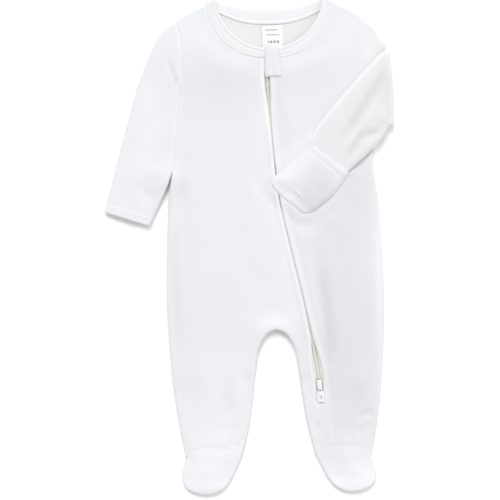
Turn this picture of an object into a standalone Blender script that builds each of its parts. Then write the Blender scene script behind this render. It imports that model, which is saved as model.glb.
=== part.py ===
"""A footed baby sleepsuit with a zip from neck to shin, laid flat with its front up.

The wearer's right sleeve lies out to the side and the left one is folded across the chest. Right and left
in the names are the wearer's, so the left side is at +X. +Y runs towards the neck, and Z is up from the
surface that the suit lies on. Sizes are in millimetres, which MM turns into metres as each mesh is made.
"""

import math
from collections import namedtuple

import bmesh
import bpy
from mathutils import Matrix, Vector

MM = 0.001
WALL = 1.2  # one layer of the knit
LOFT = 5.6  # a front lying on its back, with the air between them
SHARP_ANGLE = 50  # edges that turn less are shown smooth
GAP = 0.3  # between pieces at a seam
ROLL = 4.5  # how far in from an edge the cloth rolls over
LONG_SIDE = 15  # a side that needs a point of its own beside a corner that rolls
BAND_WALL = 1.6  # the neckband, a strip folded double
MIDDLE = LOFT / 2

# The wearer's left half of the body, which the right half mirrors.
Edge = namedtuple("Edge", "half_width y")
ARMHOLE_TOP = Edge(101, 547)
ARMPIT = Edge(115, 371)
SHOULDER = (Edge(71.7, 563), Edge(87, 556.5), ARMHOLE_TOP)
OUTER_ANKLE = Edge(106, 46)
INNER_ANKLE = Edge(41.5, 48)
SHIN_SEAM = Edge(27.6, 118.5)  # where the seam below the zip meets the inner leg
CROTCH = Edge(0, 189)
SIDE = (
    ARMPIT,
    Edge(120, 332),
    Edge(124, 240),
    Edge(122.5, 182),
    Edge(118.5, 126),
    Edge(112.5, 82),
    OUTER_ANKLE,
)
INNER_LEG = (
    INNER_ANKLE,
    Edge(33, 83),
    SHIN_SEAM,
    Edge(24.2, 147),
    Edge(20, 168),
    Edge(11, 184),
    CROTCH,
)
FOOT = (
    OUTER_ANKLE,
    Edge(110.7, 28),
    Edge(108.5, 13),
    Edge(98, 5),
    Edge(82, 2),
    Edge(67, 6.5),
    Edge(54.5, 20),
    INNER_ANKLE,
)
INSTEP_SEAM = (OUTER_ANKLE, Edge(98, 55.5), Edge(79, 58.5), Edge(58, 57), INNER_ANKLE)
HEEL_SEAM = (OUTER_ANKLE, Edge(74, 43), INNER_ANKLE)

# The neck: a front edge is a superellipse hanging from NECK_Y, and a back edge dips between the shoulders.
FrontNeck = namedtuple("FrontNeck", "half_width depth power end_y")
BackNeck = namedtuple("BackNeck", "half_width middle_y end_y power")
NECK_Y = 572
FRONT_SEAM = FrontNeck(half_width=72, depth=71.5, power=2.2, end_y=563)
FRONT_EDGE = FrontNeck(half_width=61, depth=60.2, power=1.9, end_y=567.5)
BACK_SEAM = BackNeck(half_width=71.7, middle_y=537, end_y=563, power=2.4)
BACK_EDGE = BackNeck(half_width=60.8, middle_y=553, end_y=567.5, power=2.2)
NECK_STEPS = 8

# The line that the zip follows, and half the width of the opening between the fronts along it.
ZipPoint = namedtuple("ZipPoint", "x y half_opening")
ZIP_LINE = (
    ZipPoint(-4.7, 513, 2.6),
    ZipPoint(-4.2, 478, 2.6),
    ZipPoint(-0.6, 422, 0.7),
    ZipPoint(6, 347, 0.7),
    ZipPoint(17.5, 289, 0.7),
    ZipPoint(33, 220, 0.7),
    ZipPoint(43, 167, 1.2),
    ZipPoint(47.2, 137, 3),
    ZipPoint(49.4, 109, 3),
)
ZIP_FOOT = (49.6, 106)
CHAIN_HALF = 2.1
CHAIN_BOTTOM = 2.5
CHAIN_TOP = LOFT - WALL - GAP
TAPE_WIDTH = 9
TAPE_WALL = 1.0

# A slider: plates above and below the tapes, joined by a post between them.
SLIDER_LENGTH = 11.5
SLIDER_HALF = 3.75
SLIDER_BOTTOM = WALL + GAP
SLIDER_FLOOR = 2.8
SLIDER_SHELF = LOFT - WALL
SLIDER_TOP_HALF = 2.7
SLIDER_POST_HALF = 2.0
LOWER_SLIDER_Y = 127
UPPER_SLIDER_Y = 497

# The crown that the pull hangs from, and the pull, along the zip from the hinge.
CROWN_HALF = 0.9
CROWN_REACH = 2.1
CROWN_WALL = 0.8
CROWN_CLEAR = 2.2
HINGE_DROP = 4  # below the middle of the slider
HINGE_Z = 6.7
PULL_WALL = 1.4
PULL_BAR = 0.55  # half the bar in the crown
PULL_NECK_HALF = 2.5
PULL_HALF = 4.0
PULL_NECK = 3.6
PULL_LENGTH = 16.0
PULL_CORNER = 2.0
EYE_HALF = 1.35
EYE_END = 3.1
WINDOW_HALF = 1.6
WINDOW_START = 8.5
WINDOW_END = 12.5

# The right sleeve, from the armhole to the cuff: its top edge, its underarm edge and how high it lies.
SleeveRow = namedtuple("SleeveRow", "outer_x outer_y inner_x inner_y lift")
RIGHT_SLEEVE = (
    SleeveRow(-101, 547, -115, 371, 0),
    SleeveRow(-122, 533, -118, 362, 0),
    SleeveRow(-135, 513, -121, 355, 0),
    SleeveRow(-152, 471, -125.5, 345.5, 0.8),
    SleeveRow(-169, 414, -130.5, 335, 1.5),
    SleeveRow(-181, 371, -136, 324, 1.5),
    SleeveRow(-193, 329, -142, 312, 1.5),
)

# The left sleeve: out to its fold, which is the right-hand edge of the outline, and back across the chest.
UPPER_ARM = (SleeveRow(101, 547, 115, 371, 0), SleeveRow(118, 534, 120, 405, 0))
FOLD_TOP = (133, 511)
FOLD_FOOT = (139, 420)
FOLD_RADIUS = MIDDLE + GAP / 2
FOLD_STEPS = 4
FOREARM = (
    SleeveRow(88, 457, 111, 395, 0),
    SleeveRow(49, 402, 84, 373, 0),
    SleeveRow(7, 360, 42, 331, 0),
)

# The mitten flaps. The left one's edge rolls under from one end of its hem, round the hand, to the other end.
LEFT_MITTEN = (
    (45, 405),
    (21, 385),
    (-2, 361.5),
    (0, 350),
    (19, 333),
    (37, 319),
    (46, 323.5),
    (66, 345),
    (88, 368.5),
)
RIGHT_MITTEN = ((-178.5, 377), (-191, 331.5), (-143.5, 315.5), (-133.5, 333.5))

GUARD = ((-7, 513), (-7, 479), (14.6, 478.6), (10.2, 513))
GUARD_WALL = 2.0
LABEL = ((-9, 536), (-9, 507), (15, 507), (15, 536))
LABEL_WALL = 1.0

Finish = namedtuple("Finish", "colour roughness metallic")
KNIT = Finish((0.86, 0.87, 0.90), 0.9, 0)
LABEL_SATIN = Finish((0.90, 0.90, 0.91), 0.6, 0)
TAPE = Finish((0.85, 0.85, 0.84), 0.85, 0)
COIL = Finish((0.72, 0.71, 0.60), 0.5, 0)
METAL = Finish((0.62, 0.62, 0.63), 0.35, 1)
PLASTIC = Finish((0.85, 0.86, 0.88), 0.4, 0)


# Curves in plan

def smooth(points, steps=3):
    """Points on a Catmull-Rom curve through the given ones, with so many steps between two of them."""
    given = [Vector(point[:2]) for point in points]
    padded = [2 * given[0] - given[1], *given, 2 * given[-1] - given[-2]]
    found = []
    for before, start, end, after in zip(padded, padded[1:], padded[2:], padded[3:]):
        for step in range(steps):
            t = step / steps
            linear = (end - before) * t
            square = (2 * before - 5 * start + 4 * end - after) * t**2
            cube = (3 * start - before - 3 * end + after) * t**3
            found.append(0.5 * (2 * start + linear + square + cube))
    return found + [given[-1]]


def mirrored(points):
    return [Vector((-point[0], *point[1:])) for point in points]


def front_neck(neck, side, start_x):
    """A front neck edge from start_x to the shoulder on one side, +1 for the wearer's left."""

    def angle_at(share):
        return math.asin(min(1.0, share) ** (neck.power / 2))

    start = math.copysign(angle_at(abs(start_x) / neck.half_width), start_x * side)
    end = math.acos(((NECK_Y - neck.end_y) / neck.depth) ** (neck.power / 2))
    found = []
    for step in range(NECK_STEPS + 1):
        angle = start + (end - start) * step / NECK_STEPS
        across = math.copysign(abs(math.sin(angle)) ** (2 / neck.power), angle)
        down = math.cos(angle) ** (2 / neck.power)
        found.append(Vector((side * neck.half_width * across, NECK_Y - neck.depth * down)))
    return found


def back_neck(neck):
    """A back neck edge from the wearer's left shoulder to the centre back."""
    found = []
    for step in range(NECK_STEPS + 1):
        share = 1 - step / NECK_STEPS
        rise = (neck.end_y - neck.middle_y) * share**neck.power
        found.append(Vector((neck.half_width * share, neck.middle_y + rise)))
    return found


def zip_run(top=ZIP_LINE[0].y, foot=ZIP_LINE[-1].y):
    """(middle, across) pairs down the zip between two heights: points on its line and unit vectors to +X."""
    line = smooth(ZIP_LINE)
    found = []
    for before, here, after in zip(line[:1] + line, line, line[1:] + line[-1:]):
        along = (after - before).normalized()
        if foot <= here.y <= top:
            found.append((here, Vector((-along.y, along.x))))
    return found


def zip_edge(side):
    """The edge of one front along the zip, from the top of the neckband down."""
    openings = smooth([(row.half_opening, row.y) for row in ZIP_LINE])
    return [
        middle + side * opening.x * across
        for (middle, across), opening in zip(zip_run(), openings)
    ]


def below(points, start):
    """An edge that starts at one point and goes on along those that are clear below it."""
    return [start] + [point for point in points if point.y < start.y - ROLL]


def zip_at(height):
    """The point on the zip line at a height, and the angle that turns -Y to run along it there."""
    line = smooth(ZIP_LINE, steps=12)
    nearest = min(range(1, len(line) - 1), key=lambda index: abs(line[index].y - height))
    along = line[nearest + 1] - line[nearest - 1]
    return line[nearest], math.atan2(along.x, -along.y)


# Meshes

def finished(name, mesh, finish, place=(0, 0, 0), turn=0.0):
    """An object from a bmesh in millimetres, with its own material."""
    bmesh.ops.recalc_face_normals(mesh, faces=mesh.faces[:])
    mesh.transform(Matrix.Scale(MM, 4))
    data = bpy.data.meshes.new(name)
    mesh.to_mesh(data)
    mesh.free()
    data.shade_smooth()
    data.set_sharp_from_angle(angle=math.radians(SHARP_ANGLE))
    piece = bpy.data.objects.new(name, data)
    bpy.context.collection.objects.link(piece)
    piece.location = Vector(place) * MM
    piece.rotation_euler.z = turn
    material = bpy.data.materials.new(name)
    material.use_nodes = True
    shader = material.node_tree.nodes["Principled BSDF"]
    shader.inputs["Base Color"].default_value = (*finish.colour, 1)
    shader.inputs["Roughness"].default_value = finish.roughness
    shader.inputs["Metallic"].default_value = finish.metallic
    data.materials.append(material)
    return piece


def ring_faces(mesh, first, second):
    """Quads between two closed rings of vertices."""
    for index in range(len(first)):
        after = (index + 1) % len(first)
        mesh.faces.new((first[index], first[after], second[after], second[index]))


def loft(name, rings, finish):
    """A solid through rings of points, with a flat cap on each end."""
    mesh = bmesh.new()
    made = [[mesh.verts.new(point) for point in ring] for ring in rings]
    for first, second in zip(made, made[1:]):
        ring_faces(mesh, first, second)
    mesh.faces.new(made[0])
    mesh.faces.new(made[-1])
    return finished(name, mesh, finish)


def plate(name, corners, bottom, top, finish):
    """A flat piece of even thickness."""
    rings = [[(x, y, z) for x, y in corners] for z in (bottom, top)]
    return loft(name, rings, finish)


def inset(corners, distance):
    """An anticlockwise loop of points moved inwards, its sides staying parallel."""
    moved = []
    for before, here, after in zip(corners[-1:] + corners, corners, corners[1:] + corners[:1]):
        one = (here - before).normalized()
        two = (after - here).normalized()
        one_in = Vector((-one.y, one.x))
        two_in = Vector((-two.y, two.x))
        moved.append(here + (one_in + two_in) * (distance / (1 + one_in.dot(two_in))))
    return moved


def with_flat_stretch(run):
    """A run with a point just in from each end that starts a long side, so only its corners turn down."""
    found = list(run)
    for index, here, after in ((1, run[0], run[1]), (-1, run[-1], run[-2])):
        side = after - here
        if side.length > LONG_SIDE:
            found.insert(index, here + side.normalized() * ROLL)
    return found


def loop_of(*runs):
    """An anticlockwise loop and how far each point rolls, from runs of (points, rolls) joined end to end."""
    points = []
    rolls = []
    previous = runs[-1][1]
    for run, rolling in runs:
        if not rolling:
            run = with_flat_stretch(run)
        points += run[:-1]
        rolls += [max(previous, rolling)] + [rolling] * (len(run) - 2)
        previous = rolling
    area = sum(a.cross(b) for a, b in zip(points, points[1:] + points[:1]))
    if area < 0:
        points.reverse()
        rolls.reverse()
    return points, rolls


def panel(name, loop, face_z, drop, finish=KNIT, facing=1):
    """One layer of cloth. Its outer face is flat at face_z, and rolls by drop where its edge rolls.

    facing is 1 for a layer that is seen from above and -1 for one that lies underneath.
    """
    points, rolls = loop
    edge = inset(points, GAP / 2)
    mesh = bmesh.new()

    def ring(turn, thick):
        """The ring at one turn of the roll, on the outer face (thick 0) or the inner one (thick WALL)."""
        moved = {}
        for rolling in (0, 1):
            start = thick * rolling
            moved[rolling] = inset(edge, start + (ROLL - start) * (1 - math.cos(turn)))
        made = []
        for index, rolling in enumerate(rolls):
            fall = thick + rolling * (drop - thick) * (1 - math.sin(turn))
            made.append(mesh.verts.new((*moved[rolling][index], face_z - facing * fall)))
        return made

    turns = (0, math.pi / 4, math.pi / 2)
    outer = [ring(turn, 0) for turn in turns]
    inner = [ring(turn, WALL) for turn in turns]
    rings = outer[::-1] + inner
    for first, second in zip(rings, rings[1:]):
        ring_faces(mesh, first, second)
    mesh.faces.new(outer[-1])
    mesh.faces.new(inner[-1])
    return finished(name, mesh, finish)


def tube_rings(top, foot, centre_z, normal, shift=Vector((0, 0, 0))):
    """The outer and inner rings of a flattened tube across one line in plan, from top to foot."""
    start = Vector((*top, centre_z)) + shift
    end = Vector((*foot, centre_z)) + shift
    width = (end - start).length
    across = (end - start).normalized()
    rings = []
    for thick in (0, WALL):
        half = MIDDLE - thick
        roll = ROLL - thick
        turns = [math.radians(angle) for angle in (-90, -45, 0, 45, 90)]
        near = [(thick + roll * (1 - math.cos(turn)), half * math.sin(turn)) for turn in turns]
        far = [(width - reach, height) for reach, height in reversed(near)]
        upper = [(width * share, half) for share in (0.25, 0.5, 0.75)]
        lower = [(width * share, -half) for share in (0.75, 0.5, 0.25)]
        section = near + upper + far + lower
        rings.append([start + across * reach + normal * height for reach, height in section])
    return rings


def tube(name, sections, finish=KNIT):
    """A flattened tube of cloth, open at both ends."""
    mesh = bmesh.new()
    layers = []
    for which in (0, 1):
        made = [[mesh.verts.new(point) for point in section[which]] for section in sections]
        for first, second in zip(made, made[1:]):
            ring_faces(mesh, first, second)
        layers.append(made)
    for end in (0, -1):
        ring_faces(mesh, layers[0][end], layers[1][end])
    return finished(name, mesh, finish)


# Pieces

def make_body():
    side = smooth(SIDE)
    shoulder = smooth(SHOULDER, steps=2)
    armhole = [Vector(ARMHOLE_TOP), Vector(ARMPIT)]
    leg = smooth(INNER_LEG)
    instep = smooth(INSTEP_SEAM, steps=2)
    heel = smooth(HEEL_SEAM, steps=2)
    foot = smooth(FOOT)
    seam_index = 3 * INNER_LEG.index(SHIN_SEAM)
    drop = MIDDLE - GAP / 2

    back_seam = back_neck(BACK_SEAM)
    left_half = [(back_seam[::-1], 0), (shoulder, 1), (armhole, 0), (side, 1), (heel, 0), (leg, 1)]
    right_half = [(mirrored(run)[::-1], rolls) for run, rolls in reversed(left_half)]
    panel("back_body", loop_of(*left_half, *right_half), 0, drop, facing=-1)

    left_edge = zip_edge(1)
    right_edge = zip_edge(-1)
    below_zip = [right_edge[-1], Vector((38, 111.5)), leg[seam_index]]
    around_zip = [left_edge[-1], Vector(ZIP_FOOT), *below_zip]
    left_neck = front_neck(FRONT_SEAM, 1, left_edge[0].x)
    right_neck = front_neck(FRONT_SEAM, -1, right_edge[0].x)
    left_edge = below(left_edge, left_neck[0])
    right_edge = below(right_edge, right_neck[0])
    front_left = loop_of(
        (left_neck, 0),
        (shoulder, 1),
        (armhole, 0),
        (side, 1),
        (instep, 0),
        (leg[: seam_index + 1], 1),
        (around_zip[::-1], 0),
        (left_edge[::-1], 0),
    )
    panel("front_left", front_left, LOFT, drop)
    front_right = loop_of(
        (right_neck, 0),
        (mirrored(shoulder), 1),
        (mirrored(armhole), 0),
        (mirrored(side), 1),
        (mirrored(instep), 0),
        (mirrored(leg), 1),
        (leg[: seam_index - 1 : -1], 1),
        (below_zip[::-1], 0),
        (right_edge[::-1], 0),
    )
    panel("front_right", front_right, LOFT, drop)

    for name, turned in (("left", list), ("right", mirrored)):
        panel("foot_top_" + name, loop_of((turned(foot), 1), (turned(instep)[::-1], 0)), LOFT, drop)
        panel("sole_" + name, loop_of((turned(foot), 1), (turned(heel)[::-1], 0)), 0, drop, facing=-1)


def make_right_sleeve():
    up = Vector((0, 0, 1))
    sections = []
    for index, row in enumerate(RIGHT_SLEEVE):
        clear = Vector((-GAP / 2, 0, 0)) if index == 0 else Vector((0, 0, 0))
        top = (row.outer_x, row.outer_y)
        foot = (row.inner_x, row.inner_y)
        sections.append(tube_rings(top, foot, MIDDLE + row.lift, up, clear))
    tube("sleeve_right", sections)
    plate("mitten_right", RIGHT_MITTEN, 0, WALL, KNIT)


def make_left_sleeve():
    """One flattened tube: out from the armhole, over its fold and back across the chest."""
    down = Vector((0, 0, -1))
    sections = []
    for index, row in enumerate(UPPER_ARM):
        clear = Vector((GAP / 2, 0, 0)) if index == 0 else Vector((0, 0, 0))
        top = (row.outer_x, row.outer_y)
        foot = (row.inner_x, row.inner_y)
        sections.append(tube_rings(top, foot, MIDDLE, down, clear))
    along = (Vector(FOLD_FOOT) - Vector(FOLD_TOP)).normalized()
    out = Vector((-along.y, along.x, 0))
    reach = FOLD_RADIUS + MIDDLE
    for step in range(FOLD_STEPS + 1):
        angle = math.radians(-90 + 180 * step / FOLD_STEPS)
        normal = out * math.cos(angle) + Vector((0, 0, math.sin(angle)))
        shift = normal * FOLD_RADIUS - out * reach
        sections.append(tube_rings(FOLD_TOP, FOLD_FOOT, MIDDLE + FOLD_RADIUS, normal, shift))
    for row in FOREARM:
        top = (row.outer_x, row.outer_y)
        foot = (row.inner_x, row.inner_y)
        sections.append(tube_rings(top, foot, MIDDLE + 2 * FOLD_RADIUS, -down))
    tube("sleeve_left", sections)


def make_left_mitten():
    points = [Vector(corner) for corner in LEFT_MITTEN]
    forearm_middle = MIDDLE + 2 * FOLD_RADIUS
    face = forearm_middle + MIDDLE + GAP + WALL
    loop = loop_of((points, 1), ([points[-1], points[0]], 0))
    panel("mitten_left", loop, face, face - forearm_middle)


def make_neckband():
    """One strip from the zip, up over a shoulder, round the back neck and down to the zip again."""
    axis_z = (LOFT - WALL + BAND_WALL) / 2
    radius = LOFT - WALL + BAND_WALL / 2 - axis_z
    half = BAND_WALL / 2

    def section(outer, inner, angle, out):
        """A ring across the band, at one angle round the turn over the shoulder."""
        normal = out * math.cos(angle) + Vector((0, 0, math.sin(angle)))
        near, far = [Vector((*point, axis_z)) + normal * radius for point in (outer, inner)]
        step = normal * half
        return [near - step, near + step, far + step, far - step]

    def side_of(side, slit_x):
        flat = Vector((0, 0, 0))
        front = []
        for outer, inner in zip(front_neck(FRONT_SEAM, side, slit_x), front_neck(FRONT_EDGE, side, slit_x)):
            outer = outer + (inner - outer).normalized() * (GAP / 2)
            front.append((outer, inner))
        fold = front[-1]
        along = (fold[0] - fold[1]).normalized()
        out = Vector((abs(along.y) * side, abs(along.x), 0))
        rings = [section(outer, inner, math.pi / 2, flat) for outer, inner in front]
        rings += [section(*fold, angle, out) for angle in (math.pi / 4, 0, -math.pi / 4)]
        for outer, inner in zip(back_neck(BACK_SEAM), back_neck(BACK_EDGE)):
            outer = Vector((outer.x * side, outer.y))
            inner = Vector((inner.x * side, inner.y))
            outer = outer + (inner - outer).normalized() * (GAP / 2)
            rings.append(section(outer, inner, -math.pi / 2, flat))
        return rings

    left = side_of(1, zip_edge(1)[0].x + GAP / 2)
    right = side_of(-1, zip_edge(-1)[0].x - GAP / 2)
    loft("neckband", left[:-1] + right[::-1], KNIT)


def make_zip():
    lower, lower_turn = zip_at(LOWER_SLIDER_Y)
    upper, upper_turn = zip_at(UPPER_SLIDER_Y)
    foot_y = lower.y + SLIDER_LENGTH / 2 + GAP
    top_y = upper.y - SLIDER_LENGTH / 2 - GAP
    lows = [(-CHAIN_HALF, CHAIN_BOTTOM), (CHAIN_HALF, CHAIN_BOTTOM)]
    corners = lows + [(CHAIN_HALF, CHAIN_TOP), (-CHAIN_HALF, CHAIN_TOP)]
    chain = []
    for middle, across in zip_run(top=top_y, foot=foot_y):
        chain.append([(*(middle + across * reach), z) for reach, z in corners])
    loft("zip_chain", chain, COIL)

    inner_edge = CHAIN_HALF + GAP
    for name, side in (("left", 1), ("right", -1)):
        rings = []
        for middle, across in zip_run(top=NECK_Y - FRONT_EDGE.depth, foot=ZIP_LINE[-1].y):
            near = middle + side * across * inner_edge
            far = middle + side * across * (inner_edge + TAPE_WIDTH)
            low = CHAIN_TOP - TAPE_WALL
            rings.append([(*near, low), (*far, low), (*far, CHAIN_TOP), (*near, CHAIN_TOP)])
        loft("zip_tape_" + name, rings, TAPE)

    make_slider("zip_slider_top", upper, upper_turn, crown=False)
    make_slider("zip_slider", lower, lower_turn, crown=True)
    along = Vector((math.sin(lower_turn), -math.cos(lower_turn)))
    make_pull(lower + along * HINGE_DROP, lower_turn)


def extruded(profile, axis, half):
    """A closed profile swept along X or Y by half its length each way."""
    mesh = bmesh.new()
    ends = []
    for reach in (-half, half):
        points = [(reach, a, b) if axis == "X" else (a, reach, b) for a, b in profile]
        ends.append([mesh.verts.new(point) for point in points])
    ring_faces(mesh, *ends)
    for end in ends:
        mesh.faces.new(end)
    return mesh


def combine(piece, other, operation):
    """A Boolean of two pieces, the second of which is only its tool."""
    other.hide_render = True
    other.display_type = "WIRE"
    cut = piece.modifiers.new(other.name, "BOOLEAN")
    cut.operation = operation
    cut.object = other


def make_slider(name, place, turn, crown):
    halves = [
        (SLIDER_HALF, SLIDER_BOTTOM),
        (SLIDER_HALF, SLIDER_FLOOR),
        (SLIDER_POST_HALF, SLIDER_FLOOR),
        (SLIDER_POST_HALF, SLIDER_SHELF),
        (SLIDER_TOP_HALF, SLIDER_SHELF),
        (SLIDER_TOP_HALF, LOFT),
    ]
    profile = halves + [(-x, z) for x, z in reversed(halves)]
    body = finished(name, extruded(profile, "Y", SLIDER_LENGTH / 2), METAL, (*place, 0), turn)
    if not crown:
        return
    inside = CROWN_REACH - CROWN_WALL
    root = LOFT - CROWN_WALL / 2
    ceiling = LOFT + CROWN_CLEAR
    arch = [
        (-CROWN_REACH, root),
        (-inside, root),
        (-inside, ceiling),
        (inside, ceiling),
        (inside, root),
        (CROWN_REACH, root),
        (CROWN_REACH, ceiling + CROWN_WALL),
        (-CROWN_REACH, ceiling + CROWN_WALL),
    ]
    along = Vector((math.sin(turn), -math.cos(turn)))
    stand = place + along * HINGE_DROP
    loop = finished("crown", extruded(arch, "X", CROWN_HALF), METAL, (*stand, 0), turn)
    combine(body, loop, "UNION")


def make_pull(hinge, turn):
    """The tab, with its origin on the hinge and an eye round the crown's leg."""
    corner_turns = [math.radians(angle) for angle in (0, 30, 60, 90)]
    corner = [
        (
            PULL_HALF - PULL_CORNER * (1 - math.cos(angle)),
            -PULL_LENGTH + PULL_CORNER * (1 - math.sin(angle)),
        )
        for angle in corner_turns
    ]
    half = [(PULL_NECK_HALF, PULL_BAR), (PULL_NECK_HALF, -PULL_NECK), (PULL_HALF, -PULL_NECK - 1), *corner]
    outline = half + [(-x, y) for x, y in reversed(half)]
    mesh = bmesh.new()
    rings = []
    for z in (-PULL_WALL / 2, PULL_WALL / 2):
        rings.append([mesh.verts.new((x, y, z)) for x, y in outline])
    ring_faces(mesh, *rings)
    for ring in rings:
        mesh.faces.new(ring)
    pull = finished("zip_pull", mesh, PLASTIC, (*hinge, HINGE_Z), turn)
    holes = (("eye", EYE_HALF, PULL_BAR, EYE_END), ("window", WINDOW_HALF, WINDOW_START, WINDOW_END))
    for name, half_width, start, end in holes:
        right = [(half_width, -PULL_WALL), (half_width, PULL_WALL)]
        profile = right + [(-x, z) for x, z in reversed(right)]
        cutter = extruded(profile, "Y", (end - start) / 2)
        bmesh.ops.translate(cutter, verts=cutter.verts[:], vec=(0, -(start + end) / 2, 0))
        combine(pull, finished(name, cutter, PLASTIC, (*hinge, HINGE_Z), turn), "DIFFERENCE")


def make_trims():
    guard_bottom = LOFT - WALL + BAND_WALL + GAP
    plate("chin_guard", GUARD, guard_bottom, guard_bottom + GUARD_WALL, KNIT)
    plate("neck_label", LABEL, WALL + GAP, WALL + GAP + LABEL_WALL, LABEL_SATIN)


def centre_on_origin():
    """Parents everything to an empty that puts the middle of the suit's underside at the origin."""
    pieces = list(bpy.context.collection.objects)
    bpy.context.view_layer.update()
    corners = [
        piece.matrix_world @ vertex.co
        for piece in pieces
        if not piece.hide_render
        for vertex in piece.data.vertices
    ]
    frame = bpy.data.objects.new("sleepsuit", None)
    bpy.context.collection.objects.link(frame)
    for axis in (0, 1):
        values = [corner[axis] for corner in corners]
        frame.location[axis] = -(min(values) + max(values)) / 2
    for piece in pieces:
        piece.parent = frame


for leftover in list(bpy.data.objects):
    bpy.data.objects.remove(leftover)
make_body()
make_right_sleeve()
make_left_sleeve()
make_left_mitten()
make_neckband()
make_zip()
make_trims()
centre_on_origin()
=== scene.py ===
"""A footed baby sleepsuit in white interlock, laid flat: its knit, seams, creases and zip.

Plan places are in the suit's own millimetres: X to the wearer's left from the centre line, Y up from the
toes and Z up from the surface. MM and ORIGIN put them in the frame. Right and left are the wearer's.
"""

import math
from collections import namedtuple

import bpy
import numpy as np
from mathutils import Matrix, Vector
from mathutils.geometry import delaunay_2d_cdt


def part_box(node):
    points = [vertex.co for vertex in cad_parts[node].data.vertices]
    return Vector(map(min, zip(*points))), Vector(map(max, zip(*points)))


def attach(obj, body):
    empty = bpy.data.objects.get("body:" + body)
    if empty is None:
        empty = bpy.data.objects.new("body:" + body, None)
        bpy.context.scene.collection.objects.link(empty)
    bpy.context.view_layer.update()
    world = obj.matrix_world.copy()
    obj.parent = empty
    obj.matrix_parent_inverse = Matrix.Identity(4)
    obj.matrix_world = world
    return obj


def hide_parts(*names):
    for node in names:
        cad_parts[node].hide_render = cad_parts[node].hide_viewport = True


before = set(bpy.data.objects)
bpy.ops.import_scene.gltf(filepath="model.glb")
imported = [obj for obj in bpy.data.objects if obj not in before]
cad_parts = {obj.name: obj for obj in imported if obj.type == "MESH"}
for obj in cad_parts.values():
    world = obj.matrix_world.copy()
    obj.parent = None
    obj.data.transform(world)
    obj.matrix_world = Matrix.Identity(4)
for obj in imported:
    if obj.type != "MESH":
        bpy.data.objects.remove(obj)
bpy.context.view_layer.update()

MM = 0.001
LABEL_CORNER = (-9, 507)  # the label's low corner, whose place in the frame sets the rest
ORIGIN = np.array([*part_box("neck_label")[0][:2], 0]) - np.array([*LABEL_CORNER, 0]) * MM

CAMERA_ROLL = -1.23  # degrees, because the suit lies a little askew
CAMERA_HEIGHT = 1.35
VIEW_CENTRE = (-27.8, 282.5, 0)

# How the cloth lies
LOFT = 5.6  # a front lying on its back
MIDDLE = LOFT / 2
GAP = 0.3  # between pieces at a seam
CLOTH = 1.0  # the knit's own thickness
EDGE_ROLL = 2.6  # how far in from an edge the cloth turns over
CROWN = 2.4  # how much the fronts stand up between edges and zip
EDGE_RINGS = (0.5, 1.3, 2.4, 4.0, 6.0)  # rows of points along a panel's edge, by depth
GRID_DEPTH = 7.5  # where the even grid inside them begins
ROW_SHARE = 0.866  # the spacing of its rows over the spacing in them
PANEL_SPACING = 2.5
BACK_SPACING = 5.5

# The wearer's left half of the body
ARMHOLE_TOP = (107, 544.5)
ARMPIT = (115, 371)
OUTER_ANKLE = (106, 46)
INNER_ANKLE = (41.5, 48)
SHIN_SEAM = (27.6, 118.5)
SHOULDER = ((71.7, 563), (87, 556.5), (101, 548.3), ARMHOLE_TOP)
LEFT_ARMHOLE = (
    ARMHOLE_TOP, (107.6, 534), (106, 517), (105.7, 498), (107, 475), (109.5, 440), (112.6, 405), ARMPIT,
)
RIGHT_ARMHOLE = (
    ARMHOLE_TOP, (103.7, 532), (100.8, 514), (101.2, 484), (104.5, 462), (108, 433), (112, 400), ARMPIT,
)
SIDE = (ARMPIT, (120, 332), (124, 240), (122.5, 182), (118.5, 126), (112.5, 82), OUTER_ANKLE)
INNER_LEG = (INNER_ANKLE, (33, 83), SHIN_SEAM, (24.2, 147), (20, 169.5), (11, 186), (0, 191.3))
ARCH_FROM = 3  # the knot of INNER_LEG where the arch of the crotch begins
FOOT = (
    OUTER_ANKLE, (110.4, 29), (108.2, 15), (97.5, 7.3), (82, 4.5), (67.5, 8.8), (55, 21.5), INNER_ANKLE,
)
INSTEP_SEAM = (OUTER_ANKLE, (98, 55.5), (79, 58.5), (58, 57), INNER_ANKLE)
HEEL_SEAM = (OUTER_ANKLE, (74, 43), INNER_ANKLE)

# The neck
FrontNeck = namedtuple("FrontNeck", "half_width depth power end_y")
BackNeck = namedtuple("BackNeck", "half_width middle_y end_y power")
NECK_Y = 572
FRONT_SEAM = FrontNeck(half_width=72, depth=71.5, power=2.2, end_y=563)
FRONT_EDGE = FrontNeck(half_width=61, depth=60.2, power=1.9, end_y=567.5)
BACK_SEAM = BackNeck(half_width=71.7, middle_y=539, end_y=563, power=2.4)
BACK_EDGE = BackNeck(half_width=60.8, middle_y=555.5, end_y=567.5, power=2.2)
NECK_STEPS = 72
BAND_WALL = 1.6

# The zip's line, from the neck down
ZIP_LINE = (
    (-4.7, 513), (-4.2, 478), (-0.6, 422), (6, 347), (17.5, 289), (33, 220), (43, 167), (47.2, 137),
    (49.4, 109),
)
ZIP_TOP = 511
ZIP_FOOT = (49.6, 106)
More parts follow.
